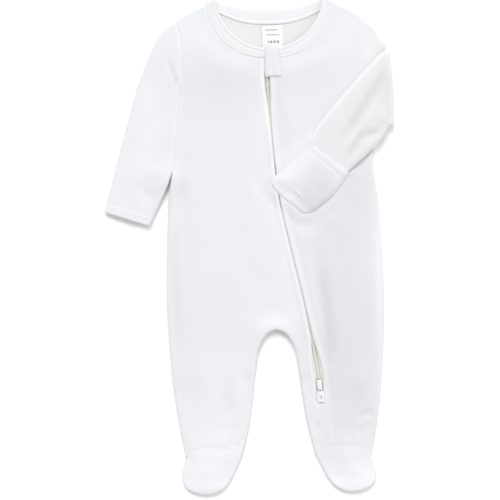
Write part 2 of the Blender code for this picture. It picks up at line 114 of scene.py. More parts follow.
# How far the folded edges stand back from that line: height, gap
ZIP_OPENING = (
    (513, 1.3), (487, 1.6), (479, 3.0), (470, 3.2), (460, 2.3), (447, 1.5), (425, 0.6), (345, 0.4),
    (290, 0.4), (220, 0.55), (184, 1.0), (170, 2.2), (158, 3.9), (147, 4.8), (137, 4.7), (122, 3.9),
    (109, 3.3),
)
WELT = 6.0  # the folded edge beside the zip
WELT_RISE = 0.8
CHAIN_HALF = 2.1
CHAIN_BOTTOM = 2.5
CHAIN_TOP = 4.1
CHAIN_RISE = 1.3  # the coil's middle above its solid's
TAPE_WIDTH = 9
TAPE_STEP = 3
SLOT_DROP = 1.8
SLOT_Y = 123
TOOTH_PITCH = 1.3
PULL_WINDOW = 5.5  # the middle of the pull's window from its end
WEB_SIZE = (1.8, 2.2, 0.4)  # the web across it: two radii and a thickness

# The right sleeve's two edges, from the armhole to the cuff
RIGHT_OUTER = (
    (-107, 544.5), (-122, 533.5), (-135, 513), (-152, 471), (-169, 414), (-181, 371), (-193, 329),
)
RIGHT_INNER = (
    (-115, 371), (-118, 362), (-121, 355), (-125.5, 345.5), (-130.5, 335), (-136, 324), (-142, 312),
)
CUFF_LIFT = 1.1  # how far the flap inside raises the cuff
CUFF_HEM_RISE = 0.8
HEM = 8.5
# Painted highlight lines on the cuff's hem, and a painted shade line where shade is below 0
CUFF_PAINTED_LINES = ((HEM - 0.4, 1.2, 0.6), (4.6, 1.2, 0.35), (7.2, 1.0, -0.5))  # depth, width, shade

# The left sleeve: out to its fold and back across the chest, as edges (top, foot) of lines across it
FOLD = ((133.4, 509), (139, 420))
FOLD_AXIS = ((131.7, 508.8), (133.3, 419.6))
FOLD_RADIUS = MIDDLE + GAP / 2
ROUND_EDGE = 3.4  # how far in from an edge the sleeve has its full thickness
GENTLE_EDGE = 7.5
FOLD_RINGS = 14
RING_STEPS = 34
# These rings are painted evenly a little lighter than the forearm, with none of its painted shade
ARMHOLE_RINGS = 8  # the lightest rings, next to the armhole
CORNER_ROLL = 0.3  # the roll pinches together towards the shoulder
FOLD_BOW = 1.6  # how far the middle of the fold bows out
SHOULDER_KNOT = (119.8, 533.4)
UPPER_ARM = ((ARMHOLE_TOP, ARMPIT), (SHOULDER_KNOT, (118, 403)), ((129.2, 518), (126, 411)), FOLD_AXIS)
FOREARM = (
    FOLD_AXIS,
    ((110, 488), (122, 402)),
    ((78, 453.5), (104, 385)),
    ((52, 422), (86, 369)),
    ((38, 397), (66, 350)),
    ((10, 362), (42, 331)),
)
FOREARM_FOOTPRINT = ((133, 511), (139, 420), (88, 368.5), (37, 319), (-2, 361.5), (45, 405))
FOREARM_CROWN = 1.6

# The mitten flaps
LEFT_MITTEN = (
    (45, 405), (25, 387.5), (9, 373), (-0.5, 362), (-1.5, 354), (5, 345),
    (20, 332.5), (32.5, 322), (42, 322.5), (53, 329), (70, 343), (88, 367),
)
MITTEN_DOME = (
    (45, 405), (25, 387.5), (9, 373), (-0.5, 362), (2, 355), (10, 350),
    (25, 338), (39, 327), (44, 324), (54, 330), (70, 343.5), (88, 367),
)
MITTEN_FLOOR = 6.2
MITTEN_FACE = 12.2
MITTEN_PUFF = 2.6
END_STRIP = np.array([(3, 346.5), (12, 338.5), (23, 329.5), (34, 320.5)])  # the seam at its finger end
RIGHT_MITTEN = ((-178.5, 377), (-191, 331.5), (-143.5, 315.5), (-133.5, 333.5))
# The chin guard and the neck label
GUARD = ((-6.2, 514), (-6.6, 478.6), (15.2, 478.6), (12.6, 498), (10, 514))
LABEL = ((-8.5, 538.5), (-8.5, 509), (15, 509), (15, 538.5))

# Creases as soft troughs (depth > 0) or ridges (depth < 0) along a line
Crease = namedtuple("Crease", "line width depth")
CREASE_ENDS = 3.2  # how quickly each fades in and out at its ends
FRONT_CREASES = (
    Crease(((-118, 508), (-113, 488), (-104, 462)), 3.4, 1.1),
    Crease(((-112, 506), (-108, 488), (-101, 466)), 3.0, -0.9),
    Crease(((-114, 420), (-126, 393), (-146, 372)), 9, 0.9),
    Crease(((-128, 372), (-143, 360), (-160, 345)), 6, 0.9),
    Crease(((-133, 352), (-146, 346), (-152, 336)), 4, 0.8),
    Crease(((-139, 480), (-150, 438), (-152, 395)), 12, -0.8),
    Crease(((44, 300), (50, 240), (57, 180), (56, 140)), 8, 1.4),
    Crease(((33, 270), (44, 210), (52, 165)), 5, -0.8),
    Crease(((12, 470), (21, 421), (24, 372)), 7, -0.9),
    Crease(((-60, 480), (-56, 440), (-40, 400)), 22, 0.7),
    Crease(((-104, 380), (-106, 320), (-104, 250)), 9, 0.9),
    Crease(((-30, 330), (-24, 272), (-18, 215)), 20, 0.7),
    Crease(((-60, 152), (-57, 120), (-56, 97), (-63, 77), (-80, 66)), 8, 1.3),
    Crease(((-46, 128), (-46, 100), (-50, 78)), 5, -0.8),
    Crease(((-57, 63), (-49, 60.5), (-41, 58)), 2.6, 0.7),
    Crease(((-80, 150), (-78, 118), (-86, 84)), 13, -0.8),
    Crease(((-60, 57), (-72, 48), (-78, 30)), 9, 0.8),
    Crease(((113, 96), (100, 92), (88, 86)), 4.5, 1.3),
    Crease(((106, 84), (98, 76), (90, 68)), 4, 1.0),
    Crease(((61.6, 89), (62, 76), (61, 60)), 2.8, 0.8),
    Crease(((57, 90), (57.5, 76), (56.5, 62)), 2.8, -0.6),
    Crease(((48, 84), (42, 78), (40, 68)), 5, 1.0),
    Crease(((84, 128), (92, 108), (90, 84)), 9, 0.9),
    Crease(((92, 230), (100, 180), (98, 128)), 13, 0.9),
    Crease(((96, 345), (80, 328), (60, 318)), 12, 1.0),
    Crease(((18.4, 204), (24, 186), (27, 167)), 5, 0.9),
    Crease(((-22, 205), (-33, 187), (-38, 165)), 9, 0.6),
    Crease(((100, 25), (104, 36), (104, 46)), 3.5, 0.7),
)
ARM_CREASES = (
    Crease(((130, 492), (119.6, 464), (103.3, 439), (89.3, 418.7), (68, 390)), 5.4, 3.3),
    Crease(((124, 462), (107.7, 433), (91.5, 411), (73, 387)), 4.8, -1.7),
    Crease(((130, 424), (116.6, 412.5), (103, 409), (91.1, 393.7), (78, 372)), 3.8, 2.6),
    Crease(((134, 413), (116.4, 402), (98, 388), (85, 370)), 3.8, -1.0),
    Crease(((133, 480), (131, 455), (122, 436)), 7, 1.2),
    Crease(((133, 424), (124, 422), (117, 419)), 2.4, 0.8),
    Crease(((137, 432), (128, 432)), 2.2, 0.6),
)
MITTEN_CREASES = (
    Crease(((62, 374), (56, 356), (50, 340)), 8, 0.9),
    Crease(((58, 392), (38, 380), (20, 366)), 9, -0.6),
)
BACK_CREASES = (
    Crease(((-90, 470), (-8.2, 464.8), (70, 440)), 16, 1),
    Crease(((80, 330), (18.1, 322.8), (-40, 300)), 13, 0.9),
    Crease(((-70, 250), (-13.7, 243.4), (40, 225)), 11, 0.8),
    Crease(((60, 160), (77.7, 126.5), (88, 90)), 8, 0.9),
    Crease(((-60, 150), (-79.4, 127.2), (-92, 100)), 9, 0.8),
    Crease(((10, 380), (24.9, 310.7), (30, 240)), 14, 0.7),
)

# Soft hills and hollows, and hills of painted light and shade that make the cloth a little lighter or
# darker in places
Hill = namedtuple("Hill", "x y across up rise")
FRONT_HILLS = (
    Hill(-40, 492, 62, 20, 1.5),
    Hill(62, 494, 40, 18, 1.2),
    Hill(-30, 300, 70, 70, 1.2),
    Hill(75, 300, 28, 45, 1.5),
    Hill(-75, 48, 36, 34, 2.2),
    Hill(-60, 175, 30, 24, -0.9),
    Hill(-150, 372, 16, 20, 1.1),
    Hill(-136, 346, 12, 12, -0.9),
    Hill(-128, 470, 14, 30, -0.7),
    Hill(82, 190, 22, 30, 0.9),
    Hill(92, 112, 16, 22, -0.9),
    Hill(70, 62, 30, 16, 0.9),
    Hill(84, 74, 12, 8, -0.8),
)
# Painted light and shade: soft hills of colour, lighter where rise is above 0 and darker where it is below
PAINTED_SHADING_HILLS = (
    Hill(88, 150, 50, 160, -0.25),
    Hill(-103, 358, 7, 16, -0.55),
    Hill(-150, 400, 50, 130, 0.38),
    Hill(-85, 60, 34, 60, 0.25),
    Hill(-80, 22, 60, 28, 0.62),
    Hill(80, 22, 60, 28, 0.95),
    Hill(85, 180, 45, 150, -0.85),
    Hill(-60, 470, 60, 34, -0.35),
    Hill(50, 470, 40, 24, -0.2),
    Hill(-90, 540, 40, 26, 0.35),
    Hill(70, 545, 50, 20, 0.25),
    Hill(96, 350, 30, 40, -0.75),
    Hill(60, 310, 30, 24, -0.4),
    Hill(-8, 203, 26, 12, 0.55),
    Hill(118, 240, 5, 130, 0.8),
    Hill(-101, 130, 16, 14, -0.4),
    Hill(88, 100, 20, 24, -0.35),
    Hill(-135, 350, 14, 18, -0.4),
    Hill(-60, 200, 70, 60, -0.15),
)
# Painted light on the mitten's upper and lower left, and painted shade on its lower right
MITTEN_PAINTED_SHADING = (
    Hill(15, 368, 26, 26, 0.6),
    Hill(50, 345, 24, 30, -1.3),
    Hill(75, 372, 12, 14, 0.3),
    Hill(18, 340, 14, 9, 0.6),
)
# Streaks of painted shade along lines, and of painted light where depth is below 0
PAINTED_STREAKS = (
    Crease(((-8.8, 513), (-8.0, 453), (-0.4, 396)), 3.2, -0.8),
    Crease(((50, 296), (56.7, 235), (61, 183), (56, 130)), 8, 0.75),
    Crease(((-112, 330), (-113, 250), (-108, 150)), 6, 0.55),
    Crease(((-59, 133), (-57, 112), (-56, 94)), 8, 0.35),
    Crease(((26, 205), (32, 165), (36, 135)), 5, 0.3),
)
ARCH_RISE = 1.6  # the bunched cloth round the crotch
# How far the suit stands off the surface at the crotch, the right armpit and the toes
LIFTS = (Hill(0, 189, 33.6, 24, 2.8), Hill(-116, 364, 20, 20, 3.2))
TOE_LIFT = 2.2
FOOT_PUFF = 1.3
# How far the cloth rises to what lies on it, and within what reach
Swell = namedtuple("Swell", "rise reach")
SLEEVE_SWELL = Swell(2.6, 26)  # the chest, to the folded sleeve
MITTEN_SWELL = Swell(2.2, 15)
END_SWELL = Swell(1.2, 13)  # the chest, to the mitten's finger end
ARM_SWELL = Swell(3.8, 17)  # the upper arm, to the forearm's edge on it
COVERED_REACH = 6  # and under the forearm
TO_FOREARM = (0.76, -0.65)  # from that edge towards the covered side
PULL_PLACE = Hill(50, 113, 14, 14, 1.6)  # the cloth stays flat under the pull

# The grain's turn on each piece
STRAIGHT = 0.0
RIGHT_ARM_TURN = math.radians(-18)
FOREARM_TURN = math.radians(43)


# ---------------------------------------------------------------- plan geometry

CURVE_STEPS = 8
BATCH = 3000  # how many points are measured at a time


def smooth(points, steps=CURVE_STEPS):
    """Points on a Catmull-Rom curve through the given ones."""
    given = np.array([point[:2] for point in points], float)
    padded = np.vstack([2 * given[0] - given[1], given, 2 * given[-1] - given[-2]])
    found = []
    for before, start, end, after in zip(padded, padded[1:], padded[2:], padded[3:]):
        for t in np.arange(steps) / steps:
            linear = (end - before) * t
            square = (2 * before - 5 * start + 4 * end - after) * t**2
            cube = (3 * start - before - 3 * end + after) * t**3
            found.append(0.5 * (2 * start + linear + square + cube))
    return np.array(found + [given[-1]])


def mirrored(line):
    return np.array(line, float) * (-1, 1)


def both(*lines):
    """Some lines with their mirror images."""
    return [side for line in lines for side in (line, mirrored(line))]


def closed(loop):
    """A loop as a line that comes back to its start."""
    return np.vstack([loop, loop[:1]])


def unit(vector):
    return vector / np.linalg.norm(vector)


def evenly(line, step):
    """The same line with points about a step apart, its ends kept."""
    line = np.array(line, float)
    run = np.concatenate([[0], np.cumsum(np.linalg.norm(np.diff(line, axis=0), axis=1))])
    places = np.linspace(0, run[-1], max(2, round(run[-1] / step) + 1))
    return np.stack([np.interp(places, run, line[:, axis]) for axis in range(line.shape[1])], axis=1)


def sideways(line):
    """Unit vectors to the left of a line's direction, at each of its points."""
    along = np.gradient(np.array(line, float), axis=0)
    along /= np.linalg.norm(along, axis=1)[:, None]
    return np.stack([-along[:, 1], along[:, 0]], axis=1)


def beside(line, distance):
    """A line moved to its left by a distance."""
    return np.array(line, float) + sideways(line) * distance


def front_neck(neck, side, start_x):
    """A front neck edge from start_x to the shoulder on one side, +1 for the wearer's left."""
    share = min(1.0, abs(start_x) / neck.half_width)
    start = math.copysign(math.asin(share ** (neck.power / 2)), start_x * side)
    end = math.acos(((NECK_Y - neck.end_y) / neck.depth) ** (neck.power / 2))
    angles = np.linspace(start, end, NECK_STEPS + 1)
    across = np.sign(angles) * np.abs(np.sin(angles)) ** (2 / neck.power)
    down = np.cos(angles) ** (2 / neck.power)
    return np.stack([side * neck.half_width * across, NECK_Y - neck.depth * down], axis=1)


def back_neck(neck):
    """A back neck edge from the wearer's left shoulder to the centre back."""
    share = 1 - np.arange(NECK_STEPS + 1) / NECK_STEPS
    rise = (neck.end_y - neck.middle_y) * share**neck.power
    return np.stack([neck.half_width * share, neck.middle_y + rise], axis=1)


def nearest(points, line):
    """How far each plan point is from a line, and its place along it from 0 to 1."""
    step = np.diff(line, axis=0)
    length = np.maximum((step**2).sum(axis=1), 1e-9)
    away, place = np.empty((2, len(points)))
    for low in range(0, len(points), BATCH):
        batch = slice(low, low + BATCH)
        offset = points[batch, None] - line[:-1]
        share = np.clip((offset * step).sum(axis=2) / length, 0, 1)
        gaps = ((offset - share[..., None] * step) ** 2).sum(axis=2)
        at = gaps.argmin(axis=1)
        rows = np.arange(len(at))
        away[batch] = np.sqrt(gaps[rows, at])
        place[batch] = (at + share[rows, at]) / len(step)
    return away, place


def distance(points, *lines):
    """How far each plan point is from the nearest of some lines."""
    return np.min([nearest(points, line)[0] for line in lines], axis=0)


def inside(points, loop):
    """Which plan points lie inside a loop."""
    x, y = points[:, 0], points[:, 1]
    within = np.zeros(len(points), bool)
    for (x0, y0), (x1, y1) in zip(loop, np.roll(loop, -1, axis=0)):
        if y0 != y1:
            crosses = ((y0 > y) != (y1 > y)) & (x < (x1 - x0) * (y - y0) / (y1 - y0) + x0)
            within ^= crosses
    return within


def inset(loop, amount):
    """An anticlockwise loop moved inwards, its sides staying parallel."""
    one = loop - np.roll(loop, 1, axis=0)
    two = np.roll(loop, -1, axis=0) - loop
    one /= np.linalg.norm(one, axis=1)[:, None]
    two /= np.linalg.norm(two, axis=1)[:, None]
    one_in = np.stack([-one[:, 1], one[:, 0]], axis=1)
    two_in = np.stack([-two[:, 1], two[:, 0]], axis=1)
    spread = np.maximum(1 + (one_in * two_in).sum(axis=1), 0.3)
    return loop + (one_in + two_in) * (amount / spread)[:, None]


def sides_of(corners):
    """The straight sides between corners."""
    corners = np.array(corners, float)
    return [np.array(side) for side in zip(corners, np.roll(corners, -1, axis=0))]


def loop_of(*runs, step=3.0):
    """One anticlockwise loop from lines joined end to end."""
    loop = np.vstack([evenly(run, step)[:-1] for run in runs])
    return loop[::-1].copy() if signed_area(loop) < 0 else loop


def signed_area(loop):
    """A loop's area, below zero where it runs clockwise."""
    ahead = np.roll(loop, -1, axis=0)
    return (loop[:, 0] * ahead[:, 1] - ahead[:, 0] * loop[:, 1]).sum() / 2


# ---------------------------------------------------------------- the lines that everything shares

SHOULDER_LINE = smooth(SHOULDER)
SIDE_LINE = smooth(SIDE)
LEG_LINE = smooth(INNER_LEG)
FOOT_LINE = smooth(FOOT)
INSTEP_LINE = smooth(INSTEP_SEAM)
HEEL_LINE = smooth(HEEL_SEAM)
LEFT_ARMHOLE_LINE = smooth(LEFT_ARMHOLE)
RIGHT_ARMHOLE_LINE = mirrored(smooth(RIGHT_ARMHOLE))
SEAM_INDEX = CURVE_STEPS * INNER_LEG.index(SHIN_SEAM)
OUTER_LINE = smooth(RIGHT_OUTER)
INNER_LINE = smooth(RIGHT_INNER)
CUFF_LINE = np.array([RIGHT_OUTER[-1], RIGHT_INNER[-1]], float)
ZIP = smooth(ZIP_LINE)
OPENING_Y, OPENING = np.array(ZIP_OPENING, float)[::-1].T
BODY_NECK = np.vstack([front_neck(FRONT_SEAM, -1, 0)[::-1], front_neck(FRONT_SEAM, 1, 0)[1:]])
FOREARM_TOP = smooth([(131, 512), *[row[0] for row in FOREARM[1:]]])
MITTEN_RIM = smooth(LEFT_MITTEN)
ARM_OUTLINE = np.array([ARMHOLE_TOP, SHOULDER_KNOT, *FOLD, (120, 405), ARMPIT], float)
HALF_ARCH = LEG_LINE[CURVE_STEPS * ARCH_FROM :]
ARCH = np.vstack([mirrored(HALF_ARCH)[:-1], HALF_ARCH[::-1]])
SILHOUETTE = (*both(SHOULDER_LINE, SIDE_LINE, LEG_LINE, FOOT_LINE), OUTER_LINE, INNER_LINE, ARM_OUTLINE)


def opening_at(y):
    """Half the zip's opening at a height."""
    return np.interp(y, OPENING_Y, OPENING)


def zip_edge(side):
    """The edge of one front along the zip, from the neck down."""
    fine = evenly(ZIP, 2.5)
    return fine + side * opening_at(fine[:, 1])[:, None] * sideways(fine)


RIGHT_ZIP_EDGE = zip_edge(-1)
LEFT_ZIP_EDGE = zip_edge(1)
BELOW_ZIP = np.array([RIGHT_ZIP_EDGE[-1], (38, 111.5), LEG_LINE[SEAM_INDEX]])


def from_neck(edge, start):
    """A zip edge from a point on the neck seam down."""
    return np.vstack([start, edge[edge[:, 1] < start[1] - 3]])


# ---------------------------------------------------------------- height of the laid cloth

def ease(share):
    share = np.clip(share, 0, 1)
    return share * share * (3 - 2 * share)


def turned(share):
    """The height of a turned edge, 0 at the edge and 1 where it is flat."""
    return np.sqrt(1 - (1 - np.clip(share, 0, 1)) ** 2)


def bell(gap, width):
    return np.exp(-((gap / width) ** 2))


def relief(points, creases):
    """How far creases sink the cloth at plan points."""
    sunk = np.zeros(len(points))
    for crease in creases:
        away, share = nearest(points, smooth(crease.line, 5))
        ends = ease(share * CREASE_ENDS) * ease((1 - share) * CREASE_ENDS)
        sunk += crease.depth * bell(away, crease.width) * ends
    return sunk


def ripple(points):
    """Slow unevenness of cloth smoothed out by hand."""
    x, y = points[:, 0], points[:, 1]
    waves = 0.5 * np.sin(x / 17 + y / 41 + 0.6) + 0.35 * np.sin(y / 23 - x / 37 + 2.1)
    return waves + 0.2 * np.sin(x / 9.1 + y / 13.7) * np.sin(y / 11.3)


def pressed(points):
    """1 where the folded sleeve lies on the cloth, easing to 0 round it."""
    footprint = np.array(FOREARM_FOOTPRINT, float)
    away = distance(points, closed(footprint))
    away[inside(points, footprint)] = 0
    return 1 - ease((away - 2) / 26)


def zip_side(points):
    """Distance from the zip line and the half opening at its nearest point."""
    return distance(points, ZIP), opening_at(points[:, 1])


def hilly(points, hills):
    """The rise of soft hills at plan points."""
    risen = np.zeros(len(points))
    for hill in hills:
        across = (points[:, 0] - hill.x) / hill.across
        up = (points[:, 1] - hill.y) / hill.up
        risen += hill.rise * np.exp(-(across**2) - up**2)
    return risen


def seam_relief(points, seams):
    """A stitched seam: a fine groove, with the pressed allowance beside it."""
    found = np.zeros(len(points))
    for seam, strength in seams:
        away = distance(points, seam)
        pucker = 1 + 0.35 * np.sin((points[:, 0] + points[:, 1]) / 2.3)
        ridges = 0.3 * pucker * (bell(away - 2.0, 1.3) + 0.5 * bell(away - 4.6, 1.3))
        found += strength * (ridges - 0.36 * bell(away, 0.9))
    return found


def from_silhouette(points):
    return np.maximum(distance(points, *SILHOUETTE) - 0.01, 0)


def raised(points):
    """How far the suit stands off the surface."""
    return hilly(points, LIFTS) + TOE_LIFT * ease((26 - points[:, 1]) / 18)


def swollen(points, line, swell):
    """The rise of the cloth towards a line that lies on it."""
    return swell.rise * (1 - ease(distance(points, line) / swell.reach))


def front_height(points):
    """The top of the laid suit: body, feet, right sleeve and upper left arm."""
    from_edge = from_silhouette(points)
    away, opening = zip_side(points)
    rise = turned(from_edge / EDGE_ROLL)
    bearing = 1 - pressed(points)
    calm = ease((from_edge - 1) / 9) * bearing
    from_band = distance(points, BODY_NECK)
    crown = CROWN * ease(from_edge / 42) * (1 - 0.9 * bell(away, 15)) * bearing * ease(from_band / 22)
    height = MIDDLE + MIDDLE * rise + crown + raised(points)
    soft = 0.35 * ripple(points) + hilly(points, FRONT_HILLS) - relief(points, FRONT_CREASES)
    height += soft * calm * (1 - 0.8 * bell(away, 9)) * ease(from_band / 10)
    height += ARCH_RISE * (1 - ease((distance(points, ARCH) - 5) / 13))
    # The chest meets the folded sleeve and its mitten, and lies flat under the pull.
    height += swollen(points, FOREARM_TOP, SLEEVE_SWELL) * ease(from_edge / 8)
    height += swollen(points, MITTEN_RIM, MITTEN_SWELL) * (1 - 0.8 * bell(away, 6))
    height += swollen(points, END_STRIP, END_SWELL)
    height += (LOFT - height) * np.clip(hilly(points, [PULL_PLACE]), 0, 1) * ease(from_edge / 9)
    height += seam_relief(points, BODY_SEAMS) * rise
    # The folded edges beside the zip, pressed flatter at its foot. Each has a thin lip, then its welt
    # and the groove where the welt ends.
    reach = away - opening
    near_foot = np.clip(bell(points[:, 1] - 112, 15) * 1.4, 0, 1)
    strength = np.where(points[:, 1] > ZIP_FOOT[1], 1 - 0.75 * near_foot, 0)
    welt = WELT_RISE * turned(reach / 1.6) * (1 - ease((reach - WELT + 1.8) / 1.8))
    lip = 0.6 * (1 - turned(reach / 1.2)) * (reach < 1.2)
    return height + strength * (welt - 0.3 * bell(reach - WELT - 0.3, 1.0) - lip)


# Seam lines, and how strongly each shows
BODY_SEAMS = (
    (LEFT_ARMHOLE_LINE, 0.8),
    (RIGHT_ARMHOLE_LINE, 0.8),
    (BODY_NECK, 0.6),
    *((seam, 0.16) for seam in both(INSTEP_LINE)),
    (BELOW_ZIP, 0.4),
)
BACK_SEAMS = [(seam, 1.0) for seam in (*both(HEEL_LINE), LEFT_ARMHOLE_LINE, RIGHT_ARMHOLE_LINE)]


def back_height(points):
    """The underside of the laid suit, flat on the surface between its turned edges."""
    from_edge = from_silhouette(points)
    rise = turned(from_edge / EDGE_ROLL)
    height = MIDDLE - MIDDLE * rise + raised(points)
    sunk = np.maximum(relief(points, BACK_CREASES) + 0.15 * ripple(points), 0)
    height += sunk * ease((from_edge - 3) / 12)
    return height + np.maximum(-seam_relief(points, BACK_SEAMS), 0) * rise


def cuff_lift(points):
    """How far the right sleeve is raised by the mitten flap turned under its end."""
    return CUFF_LIFT * ease((distance(points, RIGHT_ARMHOLE_LINE) - 12) / 38)


def hem_step(points, edge, depth=HEM, rise=0.45):
    """The step of a turned-up hem, with its folded edge rounded."""
    away = distance(points, edge)
    fold = 0.7 * (1 - turned(away / 1.3)) * (away < 1.3)
    return rise * (1 - ease((away - depth + 0.6) / 1.2)) - 0.25 * bell(away - depth - 0.5, 0.8) - fold


# ---------------------------------------------------------------- meshes

def in_frame(points):
    return np.asarray(points, float) * MM + ORIGIN


def painted_shading_of(plan):
    """Painted light and shade on the laid cloth: 0.5 is plain, and more is lighter, with painted highlights
    along the seams, the cuff's hem and the welts.
    """
    tone = 0.5 + hilly(plan, PAINTED_SHADING_HILLS)
    tone -= relief(plan, PAINTED_STREAKS)
    # A painted highlight along each seam
    for seam, strength in BODY_SEAMS:
        tone += 0.3 * strength * (1 - ease((distance(plan, seam) - 3.5) / 2.5))
    # The cuff's hem gets painted highlights along its two stitched lines, with a painted shade line between
    # them.
    depth = distance(plan, CUFF_LINE)
    for line, width, shade in CUFF_PAINTED_LINES:
        tone += shade * bell(depth - line, width)
    # A painted highlight on the welts beside the zip
    away, opening = zip_side(plan)
    return tone + 0.5 * (1 - ease((away - opening - WELT + 1) / 2))


def new_piece(name, points, faces, material, grain=None, turn=STRAIGHT, tone=None):
    """A mesh object from millimetre points, with its grain laid out in millimetres as a UV map."""
    data = bpy.data.meshes.new(name)
    data.from_pydata(in_frame(points).tolist(), [], faces)
    data.update()
    piece = bpy.data.objects.new(name, data)
    bpy.context.collection.objects.link(piece)
    spin = np.array([[math.cos(turn), math.sin(turn)], [-math.sin(turn), math.cos(turn)]])
    flat = (points if grain is None else grain)[:, :2] @ spin.T
    layer = data.uv_layers.new(name="Grain")
    corners = np.empty(len(data.loops), int)
    data.loops.foreach_get("vertex_index", corners)
    layer.data.foreach_set("uv", flat[corners].ravel())
    # Each point's painted light and shade, 0.5 where none is painted
    shades = np.full(len(points), 0.5) if tone is None else tone
    data.attributes.new("PaintedShading", "FLOAT", "POINT").data.foreach_set("value", shades)
    data.materials.append(material)
    return piece


def only(piece):
    """Makes one piece the selected and active object."""
    bpy.ops.object.select_all(action="DESELECT")
    piece.select_set(True)
    bpy.context.view_layer.objects.active = piece


def modified(piece, kind, angle, **settings):
    """Applies one modifier, then smooths the faces that meet below an angle."""
    modifier = piece.modifiers.new(kind.lower(), kind)
    for key, value in settings.items():
        setattr(modifier, key, value)
    only(piece)
    bpy.ops.object.modifier_apply(modifier=modifier.name)
    return smoothed(piece, angle)


def smoothed(piece, angle=42):
    only(piece)
    bpy.ops.object.shade_smooth_by_angle(angle=math.radians(angle))
    return piece


def mended(piece, merge=0.0, outwards=True, flat=0):
    """Merges doubles, turns the faces outwards and joins the flat ones, as asked."""
    only(piece)
    bpy.ops.object.mode_set(mode="EDIT")
    bpy.ops.mesh.select_all(action="SELECT")
    if merge:
        bpy.ops.mesh.remove_doubles(threshold=merge * MM)
    if outwards:
        bpy.ops.mesh.normals_make_consistent(inside=False)
    if flat:
        bpy.ops.mesh.dissolve_limited(angle_limit=math.radians(flat))
    bpy.ops.object.mode_set(mode="OBJECT")


def thickened(piece, wall=CLOTH):
    """Gives a sheet its wall, inwards from the face that shows."""
    return modified(piece, "SOLIDIFY", 42, thickness=wall * MM, offset=-1, use_rim=True)


def bevelled(piece, width, segments):
    """Rounds a hard piece's edges."""
    corner = {"limit_method": "ANGLE", "angle_limit": math.radians(35)}
    return modified(piece, "BEVEL", 50, width=width * MM, segments=segments, **corner)


def plan_mesh(loop, spacing):
    """Points and triangles that fill a loop, closer together near its edge."""
    outline = closed(loop)
    low, high = loop.min(axis=0), loop.max(axis=0)
    rows = np.arange(low[1], high[1], spacing * ROW_SHARE)
    grid = []
    for index, y in enumerate(rows):
        xs = np.arange(low[0] + (index % 2) * spacing / 2, high[0], spacing)
        grid.append(np.stack([xs, np.full(len(xs), y)], axis=1))
    grid = np.vstack(grid)
    grid = grid[inside(grid, loop)]
    grid = grid[distance(grid, outline) > GRID_DEPTH]
    points = [loop]
    for amount in EDGE_RINGS:
        ring = inset(loop, amount)
        ring = ring[inside(ring, loop)]
        points.append(ring[distance(ring, outline) > 0.93 * amount])
    points = np.vstack(points + [grid])
    found = delaunay_2d_cdt([Vector(p) for p in points], [], [list(range(len(loop)))], 1, 1e-5)
    return np.array([tuple(v) for v in found[0]]), [list(face) for face in found[2]]


def panel(
    name, loop, height, material, spacing=PANEL_SPACING, up=True, turn=STRAIGHT, wall=CLOTH, tones=None
):
    """A layer of cloth whose outer face follows a height, facing up or down."""
    plan, faces = plan_mesh(loop, spacing)
    points = np.column_stack([plan, height(plan)])
    # The laid cloth's painted light and shade, or only the given painted hills
    tone = painted_shading_of(plan) if tones is None else 0.5 + hilly(plan, tones)
    piece = new_piece(name, points, faces, material, turn=turn, tone=tone)
    if (piece.data.polygons[0].normal.z > 0) != up:
        piece.data.flip_normals()
    return thickened(piece, wall)


def sleeve_panel(name, loop, top, bottom, turn):
    """A sleeve laid flat: two layers that share their turned edges and stay open at both ends."""
    plan, faces = plan_mesh(loop, PANEL_SPACING)
    count = len(plan)
    points = np.vstack([np.column_stack([plan, top(plan)]), np.column_stack([plan, bottom(plan)])])
    under = [[corner + count for corner in reversed(face)] for face in faces]
    tone = np.tile(painted_shading_of(plan), 2)
    piece = new_piece(name, points, faces + under, KNIT, turn=turn, tone=tone)
    if piece.data.polygons[0].normal.z < 0:
        piece.data.flip_normals()
    mended(piece, merge=0.02, outwards=False)
    return thickened(piece)


def loft(name, rings, material, capped=True, grain=None, tone=None):
    """A skin over rings of points, all with the same number."""
    count = len(rings[0])
    points = np.vstack(rings)
    faces = []
    for row in range(len(rings) - 1):
        for index in range(count):
            after = (index + 1) % count
            here, there = row * count, row * count + count
            faces.append([here + index, here + after, there + after, there + index])
    if capped:
        faces.append(list(range(count))[::-1])
        faces.append([len(points) - count + index for index in range(count)])
    piece = new_piece(name, points, faces, material, grain=grain, tone=tone)
    mended(piece)
    return smoothed(piece)


def sewn(node, loop, height, material=None, held="laid", rests_on=(), suffix="_cloth", slot="knit", **cut):
    """A panel in place of a CAD node."""
    piece = panel(node + suffix, loop, height, material or KNIT, **cut)
    dress(piece, node)
    declare(loop)


def ring_travel(rings):
    """How far along a loft each ring's middle is."""
    return np.cumsum([0] + [np.linalg.norm(b.mean(0) - a.mean(0)) for a, b in zip(rings, rings[1:])])


def dress(piece, node, body="suit"):
    """Rides on a body, in place of a CAD node if one is named."""
    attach(piece, body)
    if node:
        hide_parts(node)


def declare(loop, layers=1):
    """Works out a sheet's plan extent and area, once for each layer that shows, and does nothing with them.
    """
    width, length = np.ptp(loop, axis=0) * MM
    area = abs(signed_area(loop)) * MM * MM * layers


# ---------------------------------------------------------------- finishes

def new_material(name):
    """A material, its node tree and its shader."""
    material = bpy.data.materials.new(name)
    material.use_nodes = True
    return material, material.node_tree, material.node_tree.nodes["Principled BSDF"]


